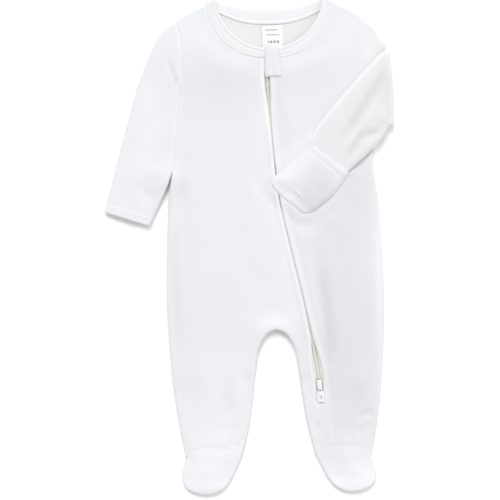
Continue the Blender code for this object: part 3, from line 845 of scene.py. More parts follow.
def wired(tree):
    """Short ways to add nodes to a tree, to join them and to reckon with them."""

    def add(kind, values=(), **settings):
        node = tree.nodes.new(kind)
        for key, value in settings.items():
            setattr(node, key, value)
        for key, value in dict(values).items():
            node.inputs[key].default_value = value
        return node

    def join(*pairs):
        for source, target in pairs:
            tree.links.new(source, target)

    def calc(operation, first, second=None):
        node = add("ShaderNodeMath", operation=operation)
        for index, value in enumerate((first, second)):
            if isinstance(value, (int, float)):
                node.inputs[index].default_value = value
            elif value is not None:
                join((value, node.inputs[index]))
        return node.outputs[0]

    return add, join, calc


KNIT_INPUTS = (
    ("Grain", "NodeSocketVector", None),
    ("Wale", "NodeSocketFloat", 0.75),
    ("Course", "NodeSocketFloat", 0.6),
    ("Yarn", "NodeSocketColor", (0.8, 0.8, 0.8, 1)),
    ("Shade", "NodeSocketColor", (0.7, 0.7, 0.7, 1)),
    ("PaintedShading", "NodeSocketFloat", 0.5),
)
KNIT_OUTPUTS = (
    ("Color", "NodeSocketColor"),
    ("Height", "NodeSocketFloat"),
    ("Roughness", "NodeSocketFloat"),
)


def knit_group():
    """Rows of knitted loops laid on the grain, with loose fibre over them, painted shade in the grooves
    between the loops, and the piece's painted light and shade.
    """
    group = bpy.data.node_groups.new("knit loops", "ShaderNodeTree")
    for name, kind, value in KNIT_INPUTS:
        made = group.interface.new_socket(name=name, in_out="INPUT", socket_type=kind)
        if value is not None:
            made.default_value = value
    for name, kind in KNIT_OUTPUTS:
        group.interface.new_socket(name=name, in_out="OUTPUT", socket_type=kind)
    add, join, calc = wired(group)
    given = add("NodeGroupInput").outputs
    out = add("NodeGroupOutput").inputs
    split = add("ShaderNodeSeparateXYZ")
    wale = calc("DIVIDE", split.outputs["X"], given["Wale"])
    course = calc("DIVIDE", split.outputs["Y"], given["Course"])
    rib = calc("ABSOLUTE", calc("SINE", calc("MULTIPLY", wale, math.pi)))
    lean = calc("MULTIPLY", rib, 1.9)
    loop = calc("SINE", calc("MULTIPLY", calc("ADD", course, lean), math.pi * 2))
    stitch = calc("ADD", calc("MULTIPLY", rib, 0.7), calc("MULTIPLY", loop, 0.22))
    fibre = add("ShaderNodeTexNoise", {"Scale": 3.1, "Detail": 4})
    cloudy = add("ShaderNodeTexNoise", {"Scale": 0.045, "Detail": 3})
    height = calc("ADD", stitch, calc("MULTIPLY", fibre.outputs["Fac"], 0.5))
    # Painted shade in the grooves between the loops, mixed with a cloudy random tone: the Shade colour
    # stands for both
    groove_shade = calc("SUBTRACT", 1.0, stitch)
    amount = calc("ADD", calc("MULTIPLY", groove_shade, 0.3), calc("MULTIPLY", cloudy.outputs["Fac"], 0.45))
    mix = add("ShaderNodeMix", data_type="RGBA", clamp_factor=True)
    # The colour is scaled by the piece's painted light and shade
    shading_painted = add("ShaderNodeVectorMath", operation="SCALE")
    join(
        (given["Grain"], split.inputs[0]),
        (given["Grain"], fibre.inputs["Vector"]),
        (given["Grain"], cloudy.inputs["Vector"]),
        (amount, mix.inputs["Factor"]),
        (given["Yarn"], mix.inputs[6]),
        (given["Shade"], mix.inputs[7]),
        (mix.outputs[2], shading_painted.inputs[0]),
        (calc("ADD", 0.95, calc("MULTIPLY", given["PaintedShading"], 0.1)), shading_painted.inputs["Scale"]),
        (shading_painted.outputs[0], out["Color"]),
        (height, out["Height"]),
        (calc("ADD", 0.82, calc("MULTIPLY", fibre.outputs["Fac"], 0.14)), out["Roughness"]),
    )
    return group


LOOPS = knit_group()


def cloth_finish(name, yarn, shade, wale=0.75, course=0.6, depth=0.00012, sheen=0.2):
    """A knitted or woven finish on a piece's grain."""
    material, tree, shader = new_material(name)
    add, join, _ = wired(tree)
    grain = add("ShaderNodeUVMap", uv_map="Grain")
    # The piece's painted light and shade
    tone = add("ShaderNodeAttribute", attribute_name="PaintedShading")
    look = {"Wale": wale, "Course": course, "Yarn": (*yarn, 1), "Shade": (*shade, 1)}
    knit = add("ShaderNodeGroup", look, node_tree=LOOPS)
    bump = add("ShaderNodeBump", {"Strength": 0.5, "Distance": depth})
    join(
        (grain.outputs["UV"], knit.inputs["Grain"]),
        (tone.outputs["Fac"], knit.inputs["PaintedShading"]),
        (knit.outputs["Color"], shader.inputs["Base Color"]),
        (knit.outputs["Roughness"], shader.inputs["Roughness"]),
        (knit.outputs["Height"], bump.inputs["Height"]),
        (bump.outputs["Normal"], shader.inputs["Normal"]),
    )
    shader.inputs["Sheen Weight"].default_value = sheen
    shader.inputs["Sheen Roughness"].default_value = 0.5
    return material


def worn_finish(name, colour, worn, roughness, scale, metallic=0.0):
    """A hard finish with small uneven wear."""
    material, tree, shader = new_material(name)
    add, join, calc = wired(tree)
    place = add("ShaderNodeTexCoord")
    noise = add("ShaderNodeTexNoise", {"Scale": scale, "Detail": 5})
    mix = add("ShaderNodeMix", {6: (*colour, 1), 7: (*worn, 1)}, data_type="RGBA")
    bump = add("ShaderNodeBump", {"Strength": 0.3, "Distance": 0.00002})
    rough = calc("ADD", roughness, calc("MULTIPLY", noise.outputs["Fac"], 0.12))
    join(
        (place.outputs["Object"], noise.inputs["Vector"]),
        (noise.outputs["Fac"], mix.inputs["Factor"]),
        (mix.outputs[2], shader.inputs["Base Color"]),
        (rough, shader.inputs["Roughness"]),
        (noise.outputs["Fac"], bump.inputs["Height"]),
        (bump.outputs["Normal"], shader.inputs["Normal"]),
    )
    shader.inputs["Metallic"].default_value = metallic
    return material


# The label's rows of dashes: middle across, reach to each side, middle up, dash length, half height
LABEL_ROWS = ((2.0, 7.0, 533.2, 1.5, 0.8), (3.5, 7.2, 527.6, 1.7, 0.7), (4.0, 6.4, 519.5, 3.2, 1.5))
DASH_GAP = 0.7
DASH_SHARE = 0.68


def label_finish():
    """Satin ribbon with three rows of plain grey dashes where print would be."""
    material = cloth_finish("label satin", (0.86, 0.86, 0.87), (0.82, 0.82, 0.84), 0.35, 0.3, 0.00004, 0.35)
    tree = material.node_tree
    ground = tree.nodes["Principled BSDF"].inputs["Base Color"]
    add, join, calc = wired(tree)
    grain = add("ShaderNodeUVMap", uv_map="Grain")
    split = add("ShaderNodeSeparateXYZ")
    join((grain.outputs["UV"], split.inputs[0]))
    across, up = split.outputs["X"], split.outputs["Y"]
    total = None
    for centre, reach, row_y, dash, tall in LABEL_ROWS:
        in_row = calc("LESS_THAN", calc("ABSOLUTE", calc("SUBTRACT", up, row_y)), tall)
        in_reach = calc("LESS_THAN", calc("ABSOLUTE", calc("SUBTRACT", across, centre)), reach)
        dashes = calc("LESS_THAN", calc("FRACT", calc("DIVIDE", across, dash + DASH_GAP)), DASH_SHARE)
        mark = calc("MULTIPLY", calc("MULTIPLY", in_row, in_reach), dashes)
        total = mark if total is None else calc("MAXIMUM", total, mark)
    mix = add("ShaderNodeMix", {7: (0.16, 0.16, 0.17, 1)}, data_type="RGBA")
    join(
        (calc("MULTIPLY", total, 0.75), mix.inputs["Factor"]),
        (ground.links[0].from_socket, mix.inputs[6]),
        (mix.outputs[2], ground),
    )
    return material


KNIT = cloth_finish("white interlock", (0.757, 0.762, 0.785), (0.717, 0.722, 0.745))
# A darker copy of the body's interlock for the folded sleeve: painted shade
SHADED_SLEEVE_KNIT = cloth_finish("sleeve interlock with painted shade", (0.753, 0.757, 0.771), (0.705, 0.709, 0.722))
BAND_KNIT = cloth_finish("folded rib", (0.80, 0.804, 0.82), (0.76, 0.764, 0.78), wale=0.9)
INSIDE_KNIT = cloth_finish("interlock inside", (0.77, 0.767, 0.765), (0.73, 0.727, 0.725))
TAPE = cloth_finish("zip tape weave", (0.80, 0.795, 0.74), (0.72, 0.715, 0.66), 0.5, 0.45, 0.00008, 0.1)
THREAD = cloth_finish("sewing thread", (0.84, 0.84, 0.86), (0.76, 0.76, 0.78), 0.2, 0.3, 0.00004, 0.1)
COIL = worn_finish("cream nylon coil", (0.82, 0.83, 0.74), (0.76, 0.77, 0.66), 0.38, 900)
# The pull's window web is greyed as painted shade in the window
SHADE_GREY_WEB = worn_finish("web moulding greyed as painted shade", (0.66, 0.66, 0.67), (0.56, 0.56, 0.57), 0.5, 500)
METAL = worn_finish("pale enamelled casting", (0.84, 0.84, 0.845), (0.70, 0.70, 0.71), 0.32, 700, 0.1)
PLASTIC = worn_finish("white moulding", (0.82, 0.83, 0.84), (0.77, 0.78, 0.79), 0.35, 500)
LABEL_SATIN = label_finish()


# ---------------------------------------------------------------- cloth pieces

def make_fronts():
    left_neck = front_neck(FRONT_SEAM, 1, LEFT_ZIP_EDGE[0][0])
    right_neck = front_neck(FRONT_SEAM, -1, RIGHT_ZIP_EDGE[0][0])
    left_zip = from_neck(LEFT_ZIP_EDGE, left_neck[0])
    right_zip = from_neck(RIGHT_ZIP_EDGE, right_neck[0])
    around_zip = np.vstack([BELOW_ZIP[::-1], ZIP_FOOT, LEFT_ZIP_EDGE[-1]])
    left = loop_of(
        left_neck, SHOULDER_LINE, LEFT_ARMHOLE_LINE, SIDE_LINE, INSTEP_LINE,
        LEG_LINE[: SEAM_INDEX + 1], around_zip, left_zip[::-1],
    )
    right = loop_of(
        right_neck, mirrored(SHOULDER_LINE), RIGHT_ARMHOLE_LINE, mirrored(SIDE_LINE), mirrored(INSTEP_LINE),
        mirrored(LEG_LINE), LEG_LINE[: SEAM_INDEX - 1 : -1], BELOW_ZIP[::-1], right_zip[::-1],
    )
    for side, loop in (("left", left), ("right", right)):
        sewn("front_" + side, loop, front_height, rests_on=("back_body",))


def make_back():
    seam = back_neck(BACK_SEAM)
    left = [seam[::-1], SHOULDER_LINE, LEFT_ARMHOLE_LINE, SIDE_LINE, HEEL_LINE, LEG_LINE]
    right = [mirrored(run) for run in left]
    right[2] = RIGHT_ARMHOLE_LINE
    loop = loop_of(*left, *[run[::-1] for run in reversed(right)])
    piece = panel("back_cloth", loop, back_height, INSIDE_KNIT, BACK_SPACING, up=False)
    dress(piece, "back_body")
    declare(loop)


def make_feet():
    def foot_height(points):
        puff = FOOT_PUFF * ease(distance(points, *both(FOOT_LINE)) / 24)
        return front_height(points) + puff * ease(distance(points, *both(INSTEP_LINE)) / 12)

    for side, way in (("left", np.array), ("right", mirrored)):
        top = loop_of(way(FOOT_LINE), way(INSTEP_LINE)[::-1], step=2.0)
        sole = loop_of(way(FOOT_LINE), way(HEEL_LINE)[::-1], step=2.5)
        sewn("foot_top_" + side, top, foot_height, rests_on=("sole_" + side,), spacing=2.8)
        sewn("sole_" + side, sole, back_height, spacing=4, up=False)


def cuff_height(points):
    """The top of the right sleeve: the laid cloth, lifted by the flap inside, with its turned hem."""
    return front_height(points) + cuff_lift(points) + hem_step(points, CUFF_LINE, rise=CUFF_HEM_RISE)


def cuff_underside(points):
    return back_height(points) + cuff_lift(points) + 0.2 * bell(distance(points, CUFF_LINE), 1)


def make_right_sleeve():
    loop = loop_of(OUTER_LINE, CUFF_LINE, INNER_LINE[::-1], RIGHT_ARMHOLE_LINE[::-1])

    def level(height):
        """Both layers meet at one height along the turned edges."""

        def of(points):
            from_edge = distance(points, OUTER_LINE, INNER_LINE)
            return np.where(from_edge < 1e-3, MIDDLE + cuff_lift(points) + raised(points), height(points))

        return of

    layers = (level(cuff_height), level(cuff_underside))
    piece = sleeve_panel("sleeve_right_cloth", loop, *layers, RIGHT_ARM_TURN)
    dress(piece, "sleeve_right")
    declare(loop, layers=2)
    flap = loop_of(*sides_of(RIGHT_MITTEN))

    def lying(points):
        return 1.2 - 0.5 * (1 - turned(distance(points, closed(flap)) / 1.5))

    sewn("mitten_right", flap, lying, spacing=4, turn=RIGHT_ARM_TURN, tones=())


def across_sleeve(rows, steps):
    """Lines across a sleeve, smoothed along its length."""
    tops = smooth([row[0] for row in rows], steps)
    feet = smooth([row[1] for row in rows], steps)
    return list(zip(tops, feet))


def make_left_sleeve():
    """One flattened tube: out from the armhole, over its fold and back across the chest."""
    shares = 0.5 - 0.5 * np.cos(np.linspace(0, math.pi, RING_STEPS + 1))

    def ring(top, foot, centre_z, normal, shift, seam=0.0, crown=0.0, bow=0.0):
        """A ring across the sleeve. seam is 1 where it follows the armhole, and crown 1 on the forearm."""
        start = np.array([*top, centre_z]) + shift * (CORNER_ROLL, CORNER_ROLL, 1)
        end = np.array([*foot, centre_z]) + shift
        width = np.linalg.norm(end - start)
        across = (end - start) / width
        reach = shares * width
        edge = np.minimum(reach, width - reach)
        half = MIDDLE * turned(edge / ROUND_EDGE)
        # On the forearm the upper edge rolls over gently and the lower edge is round.
        gentle = ease((2.5 - shares * 5) / 2) * ease(crown * 2)
        half = half + gentle * (MIDDLE * ease(0.12 + edge / GENTLE_EDGE) - half)
        middle = start + across * reach[:, None]
        middle[:, :2] += out[:2] * (bow * FOLD_BOW * np.sin(math.pi * shares)[:, None])
        middle[:, 0] += seam * (np.interp(-middle[:, 1], -armhole[:, 1], armhole[:, 0]) - middle[:, 0])
        outer = middle + normal * half[:, None]
        inner = middle - normal * half[:, None]
        plan = middle[:, :2]
        if seam > 0:
            outer[:, 2] += seam * (np.minimum(back_height(plan), MIDDLE) - outer[:, 2])
            inner[:, 2] += seam * (np.maximum(front_height(plan), MIDDLE) - inner[:, 2])
        if crown == 0:
            covered = (plan - FOREARM_TOP[0]) @ np.array(TO_FOREARM) > 0
            swell = ARM_SWELL._replace(reach=np.where(covered, COVERED_REACH, ARM_SWELL.reach))
            inner[:, 2] += swollen(plan, FOREARM_TOP, swell) * (1 - seam) * ease(edge / 3.5)
        calm = ease(edge / 7) * crown
        lift = FOREARM_CROWN * ease(edge / 20) - relief(outer[:, :2], ARM_CREASES)
        outer[:, 2] += lift * calm
        if crown == 1:
            inner[:, 2] = np.maximum(inner[:, 2], np.minimum(front_height(plan) + 0.3, middle[:, 2]))
        return np.vstack([outer, inner[-2:0:-1]])

    armhole = LEFT_ARMHOLE_LINE
    still = np.zeros(3)
    down = np.array([0.0, 0.0, -1.0])
    rings = []
    lines = across_sleeve(UPPER_ARM, 7)
    along = unit(np.array(FOLD[1], float) - FOLD[0])
    out = np.array([-along[1], along[0], 0])
    for index, (top, foot) in enumerate(lines):
        bow = float(ease(index / (len(lines) - 1) * 2 - 1))
        rings.append(ring(top, foot, MIDDLE, down, still, seam=float(1 - ease(index / 9)), bow=bow))
    reach = FOLD_RADIUS + MIDDLE
    for angle in np.radians(np.linspace(-90, 90, FOLD_RINGS + 1))[1:]:
        normal = out * math.cos(angle) + np.array([0, 0, math.sin(angle)])
        shift = normal * FOLD_RADIUS - out * reach
        crown = max(0.0, math.sin(angle)) ** 2
        rings.append(ring(FOLD[0], FOLD[1], MIDDLE + FOLD_RADIUS, normal, shift, crown=crown, bow=1.0))
    for index, (top, foot) in enumerate(across_sleeve(FOREARM, 12)[1:]):
        bow = float(1 - ease(index / 12))
        rings.append(ring(top, foot, MIDDLE + 2 * FOLD_RADIUS, -down, still, crown=1.0, bow=bow))
    count = len(rings[0])
    around = np.linspace(0, 150, count)
    grain = np.vstack([np.column_stack([around, np.full(count, run)]) for run in ring_travel(rings)])
    # Painted shade makes the forearm darker than the body, with a painted highlight along its upper edge,
    # painted shade in its creases and painted light on its ridges.
    share = np.concatenate([shares, shares[-2:0:-1]])
    tone = np.tile(0.3 + 1.4 * bell(share, 0.07), len(rings))
    tone -= 0.28 * relief(np.vstack(rings)[:, :2], ARM_CREASES)
    tone[: ARMHOLE_RINGS * count] = 0.6
    piece = loft("sleeve_left_cloth", rings, SHADED_SLEEVE_KNIT, capped=False, grain=grain, tone=tone)
    thickened(piece)
    dress(piece, "sleeve_left")
    cut = 0
    for rows in (lines, FOREARM):
        around = np.vstack([[row[0] for row in rows], [row[1] for row in rows[::-1]]])
        cut += abs(signed_area(around)) * MM * MM


def make_left_mitten():
    corners = np.array(LEFT_MITTEN, float)
    rounded = smooth(corners, 4)
    hem = np.array([corners[-1], corners[0]])
    loop = loop_of(rounded, hem, step=1.6)
    dome = smooth(MITTEN_DOME, 4)

    def height(points):
        away = distance(points, dome)
        away[~inside(points, closed(dome))] = 0
        from_hem = distance(points, hem)
        from_rim = distance(points, rounded)
        top = MITTEN_FACE - MITTEN_FLOOR
        # The seam at the finger end is pressed flat, a little lower than the puffed middle.
        drop = 0.8 + 1.2 * ease(np.hypot(points[:, 0] + 1.5, points[:, 1] - 354) / 16)
        strip = (top - drop) * turned(from_rim / 4.5)
        puff = MITTEN_PUFF * ease(away / 24) * ease((from_hem + 8) / 26)
        rise = turned(from_rim / 6.0)
        body = (top - 1.2 * (1 - ease(away / 10)) - 0.2 * bell(away, 2.4)) * rise + puff
        body -= relief(points, MITTEN_CREASES) * ease(away / 8)
        found = np.where(away > 0, np.maximum(body, strip), strip)
        lines = -0.25 * bell(from_hem - 9.8, 1.0)
        for reach in (2.0, 4.1, 6.2):
            lines += 0.28 * bell(distance(points, beside(END_STRIP, reach)), 0.75)
        for reach in (3.4, 6.4):
            lines += 0.3 * bell(from_hem - reach, 0.8)
        found += lines * ease(from_rim / 2.5)
        along_hem = ease(1.15 - np.hypot(*(points - corners[-1]).T) / 50)
        return MITTEN_FLOOR + found + hem_step(points, hem, rise=0.55) * rise * along_hem

    lie = {"held": "folded", "rests_on": ("sleeve_left",)}
    sewn("mitten_left", loop, height, spacing=2.0, turn=FOREARM_TURN, tones=MITTEN_PAINTED_SHADING, **lie)
    return height, hem


# The band's cross-section: places from its seam (-1) to its inner edge (1), and half the wall there
BAND_TOP = (
    (-1, 0.4), (-0.97, 0.65), (-0.9, 0.8), (-0.75, 0.84), (-0.6, 0.86), (-0.5, 0.6), (-0.4, 0.88),
    (-0.25, 0.88), (-0.12, 0.62), (0, 0.89), (0.16, 0.9), (0.28, 0.52), (0.38, 0.8), (0.48, 1.1),
    (0.62, 1.28), (0.78, 1.26), (0.9, 1.0), (0.97, 0.6),
)
BAND_UNDER = (
    (1, 0.1), (0.96, 0.6), (0.82, 0.8), (0.4, 0.8), (0, 0.8), (-0.3, 0.8), (-0.46, 0.66),
    (-0.56, 1.1), (-0.7, 1.3), (-0.84, 1.2), (-0.95, 0.7),
)
BAND_SINK = 1.2  # how far the band lies below the top of the fronts
BAND_HANG = 2.2  # how far the front's inner edge hangs towards the back
BAND_LIFT = 0.7  # how much thicker the band is beside the zip


def make_neckband():
    """One strip folded double, from the zip round the neck and back to it."""
    seat = LOFT - BAND_SINK
    axis_z = (seat + BAND_WALL) / 2
    radius = seat + BAND_WALL / 2 - axis_z

    def section(outer, inner, angle, out, rise=0.0, hang=0.0):
        """A ring across the band, from its seam to the rolled inner edge and back underneath."""
        normal = out * math.cos(angle) + np.array([0, 0, math.sin(angle)])
        middle = np.array([*(outer + inner) / 2, axis_z]) + normal * radius
        across = np.array([*(inner - outer) / 2, 0])
        ring = []
        for share, level in BAND_TOP:
            ring.append(middle + across * share + normal * (level + rise * ease((1 - abs(share)) * 3)))
        for share, level in BAND_UNDER:
            ring.append(middle + across * share - normal * (level + hang * ease((share - 0.6) * 3.5)))
        return np.array(ring)

    def side_of(side, slit_x):
        front = list(zip(front_neck(FRONT_SEAM, side, slit_x), front_neck(FRONT_EDGE, side, slit_x)))
        along = unit(front[-1][0] - front[-1][1])
        out = np.array([abs(along[1]) * side, abs(along[0]), 0])
        rings = []
        for outer, inner in front:
            near = bell((outer + inner)[0] / 2 - slit_x, 7)
            rings.append(section(outer, inner, math.pi / 2, np.zeros(3), BAND_LIFT * near, BAND_HANG))
        for angle in np.linspace(math.pi / 2, -math.pi / 2, 9)[1:-1]:
            rings.append(section(*front[-1], angle, out))
        for outer, inner in zip(back_neck(BACK_SEAM) * (side, 1), back_neck(BACK_EDGE) * (side, 1)):
            rings.append(section(outer, inner, -math.pi / 2, np.zeros(3)))
        return rings

    rings = side_of(1, LEFT_ZIP_EDGE[0][0])[:-1] + side_of(-1, RIGHT_ZIP_EDGE[0][0])[::-1]
    count = len(rings[0])
    around = np.linspace(0, 24, count)
    grain = np.vstack([np.column_stack([np.full(count, run), around]) for run in ring_travel(rings)])
    piece = loft("neckband_cloth", rings, BAND_KNIT, grain=grain)
    dress(piece, "neckband")


def make_guard():
    loop = loop_of(*sides_of(GUARD), step=1.2)

    def guard_height(points):
        away = distance(points, closed(loop))
        face = 6.3 + 2.1 * turned(away / 1.6) + 0.5 * ease(away / 7)
        from_top = (514 - points[:, 1]) / 36
        lean = points[:, 0] - 5.5 * from_top
        folds = 0.2 * bell(lean - 1.5, 2.4) - 0.22 * bell(lean + 1.8, 1.6) - 0.16 * bell(lean - 5.4, 2.0)
        return face + folds * ease(away / 3) + 0.3 * bell(points[:, 1] - 482.5, 2.0) * ease(away / 3)

    lie = {"held": "folded", "rests_on": ("neckband",)}
    sewn("chin_guard", loop, guard_height, spacing=1.4, wall=1.1, tones=(), **lie)


def make_label():
    loop = loop_of(*sides_of(LABEL), step=1.5)

    def label_height(points):
        x, y = points[:, 0], points[:, 1]
        return 2.1 + 0.25 * np.sin((x + 9) / 24 * math.pi) + 0.2 * ease((536 - y) / 29)

    lie = {"suffix": "_ribbon", "slot": "label", "rests_on": ("back_body",)}
    sewn("neck_label", loop, label_height, LABEL_SATIN, spacing=2.2, wall=0.4, tones=(), **lie)


# ---------------------------------------------------------------- stitches and zip

def copies(name, base, places, material):
    """One mesh of many small copies: each place is an origin and three axes, in millimetres."""
    shape = np.array([tuple(vertex.co) for vertex in base.data.vertices])
    faces = [list(face.vertices) for face in base.data.polygons]
    bpy.data.objects.remove(base)
    points = []
    all_faces = []
    for index, (origin, x_axis, y_axis, z_axis) in enumerate(places):
        points.append(origin + shape @ np.array([x_axis, y_axis, z_axis]))
        all_faces += [[corner + index * len(shape) for corner in face] for face in faces]
    piece = new_piece(name, np.vstack(points), all_faces, material)
    piece.data.shade_smooth()
    return piece


def bead(segments, rings):
    """A unit ball to be drawn out into a stitch or a tooth."""
    bpy.ops.object.select_all(action="DESELECT")
    bpy.ops.mesh.primitive_uv_sphere_add(segments=segments, ring_count=rings, radius=1)
    return bpy.context.active_object


def stitch_places(line, height, pitch, length, thick):
    """Places of straight stitches along a plan line that lie on the cloth."""
    line = evenly(line, pitch)
    middle = (line[:-1] + line[1:]) / 2
    step = np.diff(line, axis=0)
    step /= np.linalg.norm(step, axis=1)[:, None]
    half = step * length / 2
    climb = (height(middle + half) - height(middle - half)) / length
    places = []
    for (x, y), (dx, dy), level, slope in zip(middle, step, height(middle), climb):
        along = unit(np.array([dx, dy, slope]))
        side = np.array([-dy, dx, 0])
        up = np.cross(along, side)
        origin = np.array([x, y, level + 0.12])
        places.append((origin, along * length / 2, side * thick, up * thick))
    return places


def make_stitches(mitten_height, mitten_hem):
    def flat(level):
        """A level face: the band's outer half, the chin guard or the inside of the back."""
        return lambda points: np.full(len(points), level)

    rows = []
    for side in (-1, 1):
        run = front_neck(FRONT_SEAM, side, 12 * side)
        rows += [(beside(run, -reach * side), front_height, 2.6) for reach in (2.6, 5.4)]
        rows += [(beside(run, reach * side), flat(5.98), 2.2) for reach in (2.9, 5.0)]
    for line, side in ((LEFT_ARMHOLE_LINE, 1), (RIGHT_ARMHOLE_LINE, -1)):
        seam = line[(line[:, 1] < 538) & (line[:, 1] > 380)]
        rows += [(beside(seam, -reach * side), front_height, 2.6) for reach in (1.9, 4.6)]
    for line in both(INSTEP_LINE):
        rows += [(line[6:-6] + (0, rise), front_height, 2.6) for rise in (2.0, 4.6)]
    for edge, side in ((LEFT_ZIP_EDGE, 1), (RIGHT_ZIP_EDGE, -1)):
        shown = edge[(edge[:, 1] < 476) & (edge[:, 1] > 118)]
        rows.append((beside(shown, side * (WELT - 0.9)), front_height, 2.6))
    rows.append((evenly(BELOW_ZIP[1:] + (0, -1.9), 2), front_height, 2.6))
    along = unit(CUFF_LINE[1] - CUFF_LINE[0])
    inward = np.array([-along[1], along[0]])
    rows += [(evenly(CUFF_LINE, 3)[1:-1] + inward * depth, cuff_height, 2.4) for depth in (5.8, 7.8)]
    along = unit(mitten_hem[1] - mitten_hem[0])
    inward = -np.sign(-along[0]) * np.array([along[1], -along[0]])
    run = evenly(mitten_hem, 3)[3:-2]
    rows += [(run + inward * depth, mitten_height, 2.4) for depth in (5.6, 8.4, 14.4)]
    for line in (((-5.2, 511), (-5.5, 481)), ((-5, 480.4), (13.4, 480.4)), ((9, 511), (13.4, 482))):
        rows.append((np.array(line, float), flat(8.6), 2.2))
    for side in (1, -1):
        rows.append((back_neck(BACK_SEAM)[12:] * (side, 1) - (0, 2.2), flat(1.15), 2.6))
    places = []
    for line, height, pitch in rows:
        places += stitch_places(line, height, pitch, pitch * 0.74, 0.24)
    # The bar tack below the zip
    for level in (106.6, 103.3):
        line = np.array([(47.8, level), (57.1, level - 0.2)])
        places += stitch_places(line, front_height, 1.2, 1.3, 0.42)
    dress(copies("stitching", bead(6, 4), places, THREAD), None)


def zip_frames(low, high, step):
    """Places down the zip between two heights: point, unit vector across, unit vector along."""
    line = evenly(ZIP, step)
    across = sideways(line)
    keep = (line[:, 1] > low) & (line[:, 1] < high)
    return [(p, a, np.array([a[1], -a[0]])) for p, a in zip(line[keep], across[keep])]


def make_zip():
    # The coil runs between the two sliders.
    foot = (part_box("zip_slider")[1][1] - ORIGIN[1]) / MM + 0.2
    top = (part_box("zip_slider_top")[0][1] - ORIGIN[1]) / MM - 0.2
    frames = zip_frames(foot, top, TOOTH_PITCH / 2)
    centre = (CHAIN_BOTTOM + CHAIN_TOP) / 2 + CHAIN_RISE
    places = []
    for index, (point, across, along) in enumerate(frames):
        side = 1 if index % 2 else -1
        origin = np.array([*(point + across * side * 0.85), centre + 0.15])
        reach = np.array([*across, 0]) * 1.25
        run = np.array([*along, 0]) * 0.52
        places.append((origin, reach, run, np.array([0, 0, 0.62])))
    dress(copies("zip_coil", bead(8, 5), places, COIL), None)
    half = CHAIN_HALF - 0.5
    low, high = centre - 0.7, centre - 0.1
    corners = ((-half, low), (half, low), (half, high), (-half, high))
    rings = []
    for point, across, _ in zip_frames(foot, top, 2.5):
        rings.append(np.array([[*(point + across * reach), z] for reach, z in corners]))
    dress(loft("zip_core", rings, COIL), "zip_chain")

    reaches = np.linspace(0, TAPE_WIDTH, 6) + CHAIN_HALF + 0.1
    for side, name in ((1, "left"), (-1, "right")):
        rings = []
        for point, across, _ in zip_frames(ZIP_LINE[-1][1], ZIP_TOP, TAPE_STEP):
            # The tape runs through the slider's side slots, below its upper plate.
            level = CHAIN_TOP - SLOT_DROP * bell(point[1] - SLOT_Y, 9)
            upper_face = [[*(point + side * across * reach), level + 0.25] for reach in reaches]
            lower_face = [[*(point + side * across * reach), level - 0.45] for reach in reaches[::-1]]
            rings.append(np.array(upper_face + lower_face))
        tape = loft("zip_tape_" + name + "_weave", rings, TAPE)
        dress(tape, "zip_tape_" + name)


def rounded_node(node, name, material, width, body="suit"):
    """A hard piece on a CAD node's own form, its edges rounded."""
    source = bpy.data.objects[node] if node in bpy.data.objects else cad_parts[node]
    piece = source.copy()
    piece.data = source.data.copy()
    piece.name = name
    piece.parent = None
    for key in list(piece.keys()):
        del piece[key]
    bpy.context.collection.objects.link(piece)
    piece.data.materials.clear()
    piece.data.materials.append(material)
    mended(piece, merge=0.01, flat=2)
    bevelled(piece, width, 3)
    dress(piece, node, body)
    return piece


def make_pull_web(moulding):
    """The thin web across the window near the pull's end, coloured grey as painted shade."""
    points = np.array([tuple(vertex.co) for vertex in moulding.data.vertices]) / MM
    level = points[:, 1].min() + PULL_WINDOW
    near = points[abs(points[:, 1] - level) < 2.6]
    x, _, z = (near.min(axis=0) + near.max(axis=0)) / 2
    bpy.ops.object.select_all(action="DESELECT")
    bpy.ops.mesh.primitive_cylinder_add(vertices=32, radius=1, depth=1)
    web = bpy.context.active_object
    web.name = "zip_pull_web"
    web.scale = Vector(WEB_SIZE) * MM
    web.location = Vector((x, level, z)) * MM
    bpy.ops.object.transform_apply(location=True, rotation=True, scale=True)
    web.data.materials.append(SHADE_GREY_WEB)
    bevelled(web, 0.1, 2)
    dress(web, None, "pull")


# ---------------------------------------------------------------- stage

ROOM_LIGHT = 0.60
KEY_LIGHT = 1.9


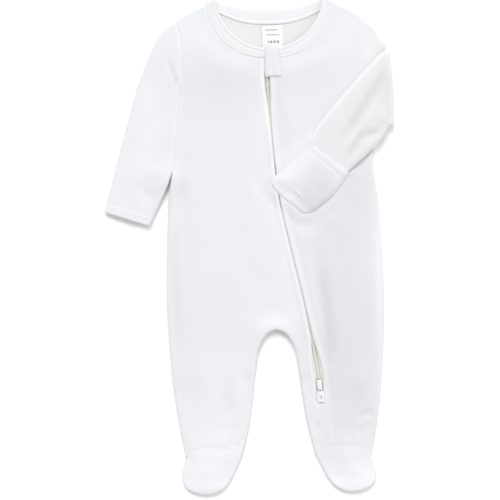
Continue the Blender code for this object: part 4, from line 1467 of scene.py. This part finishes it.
def make_stage():
    bpy.ops.object.select_all(action="DESELECT")
    bpy.ops.mesh.primitive_plane_add(size=6, location=(0, 0, -0.0002))
    floor = bpy.context.active_object
    floor.name = "floor"
    material, _, shader = new_material("pale floor")
    shader.inputs["Base Color"].default_value = (0.97, 0.97, 0.97, 1)
    shader.inputs["Roughness"].default_value = 0.9
    shader.inputs["Specular IOR Level"].default_value = 0.1
    floor.data.materials.append(material)

    world = bpy.data.worlds.new("soft room")
    world.use_nodes = True
    room = world.node_tree.nodes["Background"].inputs
    room["Color"].default_value = (1, 1, 1, 1)
    room["Strength"].default_value = ROOM_LIGHT
    bpy.context.scene.world = world

    def lamp(name, kind, place, power, spread):
        light = bpy.data.lights.new(name, kind)
        light.energy = power
        if kind == "SUN":
            light.angle = math.radians(spread)
        else:
            light.size = spread
        holder = bpy.data.objects.new(name, light)
        bpy.context.collection.objects.link(holder)
        holder.location = place
        holder.rotation_euler = (-Vector(place)).to_track_quat("-Z", "Y").to_euler()

    lamp("window", "SUN", (-0.25, 1.0, 1.2), KEY_LIGHT, 30)
    lamp("fill", "AREA", (2.0, -0.2, 1.2), 16, 1.8)

    camera = bpy.data.cameras.new("camera")
    holder = bpy.data.objects.new("camera", camera)
    bpy.context.collection.objects.link(holder)
    bpy.context.scene.camera = holder
    camera.lens = 85
    camera.sensor_width = 36
    view_centre = in_frame([VIEW_CENTRE])[0]
    holder.location = (view_centre[0], view_centre[1], CAMERA_HEIGHT)
    holder.rotation_euler = (0, 0, math.radians(CAMERA_ROLL))
    bpy.context.scene.view_settings.view_transform = "Standard"


make_fronts()
make_back()
make_feet()
make_right_sleeve()
make_left_sleeve()
MITTEN_TOP, MITTEN_HEM = make_left_mitten()
make_neckband()
make_guard()
make_label()
make_stitches(MITTEN_TOP, MITTEN_HEM)
make_zip()
rounded_node("zip_slider", "zip_slider_casting", METAL, 0.35)
rounded_node("zip_slider_top", "zip_slider_top_casting", METAL, 0.35)
make_pull_web(rounded_node("zip_pull", "zip_pull_moulding", PLASTIC, 0.3, "pull"))
make_stage()
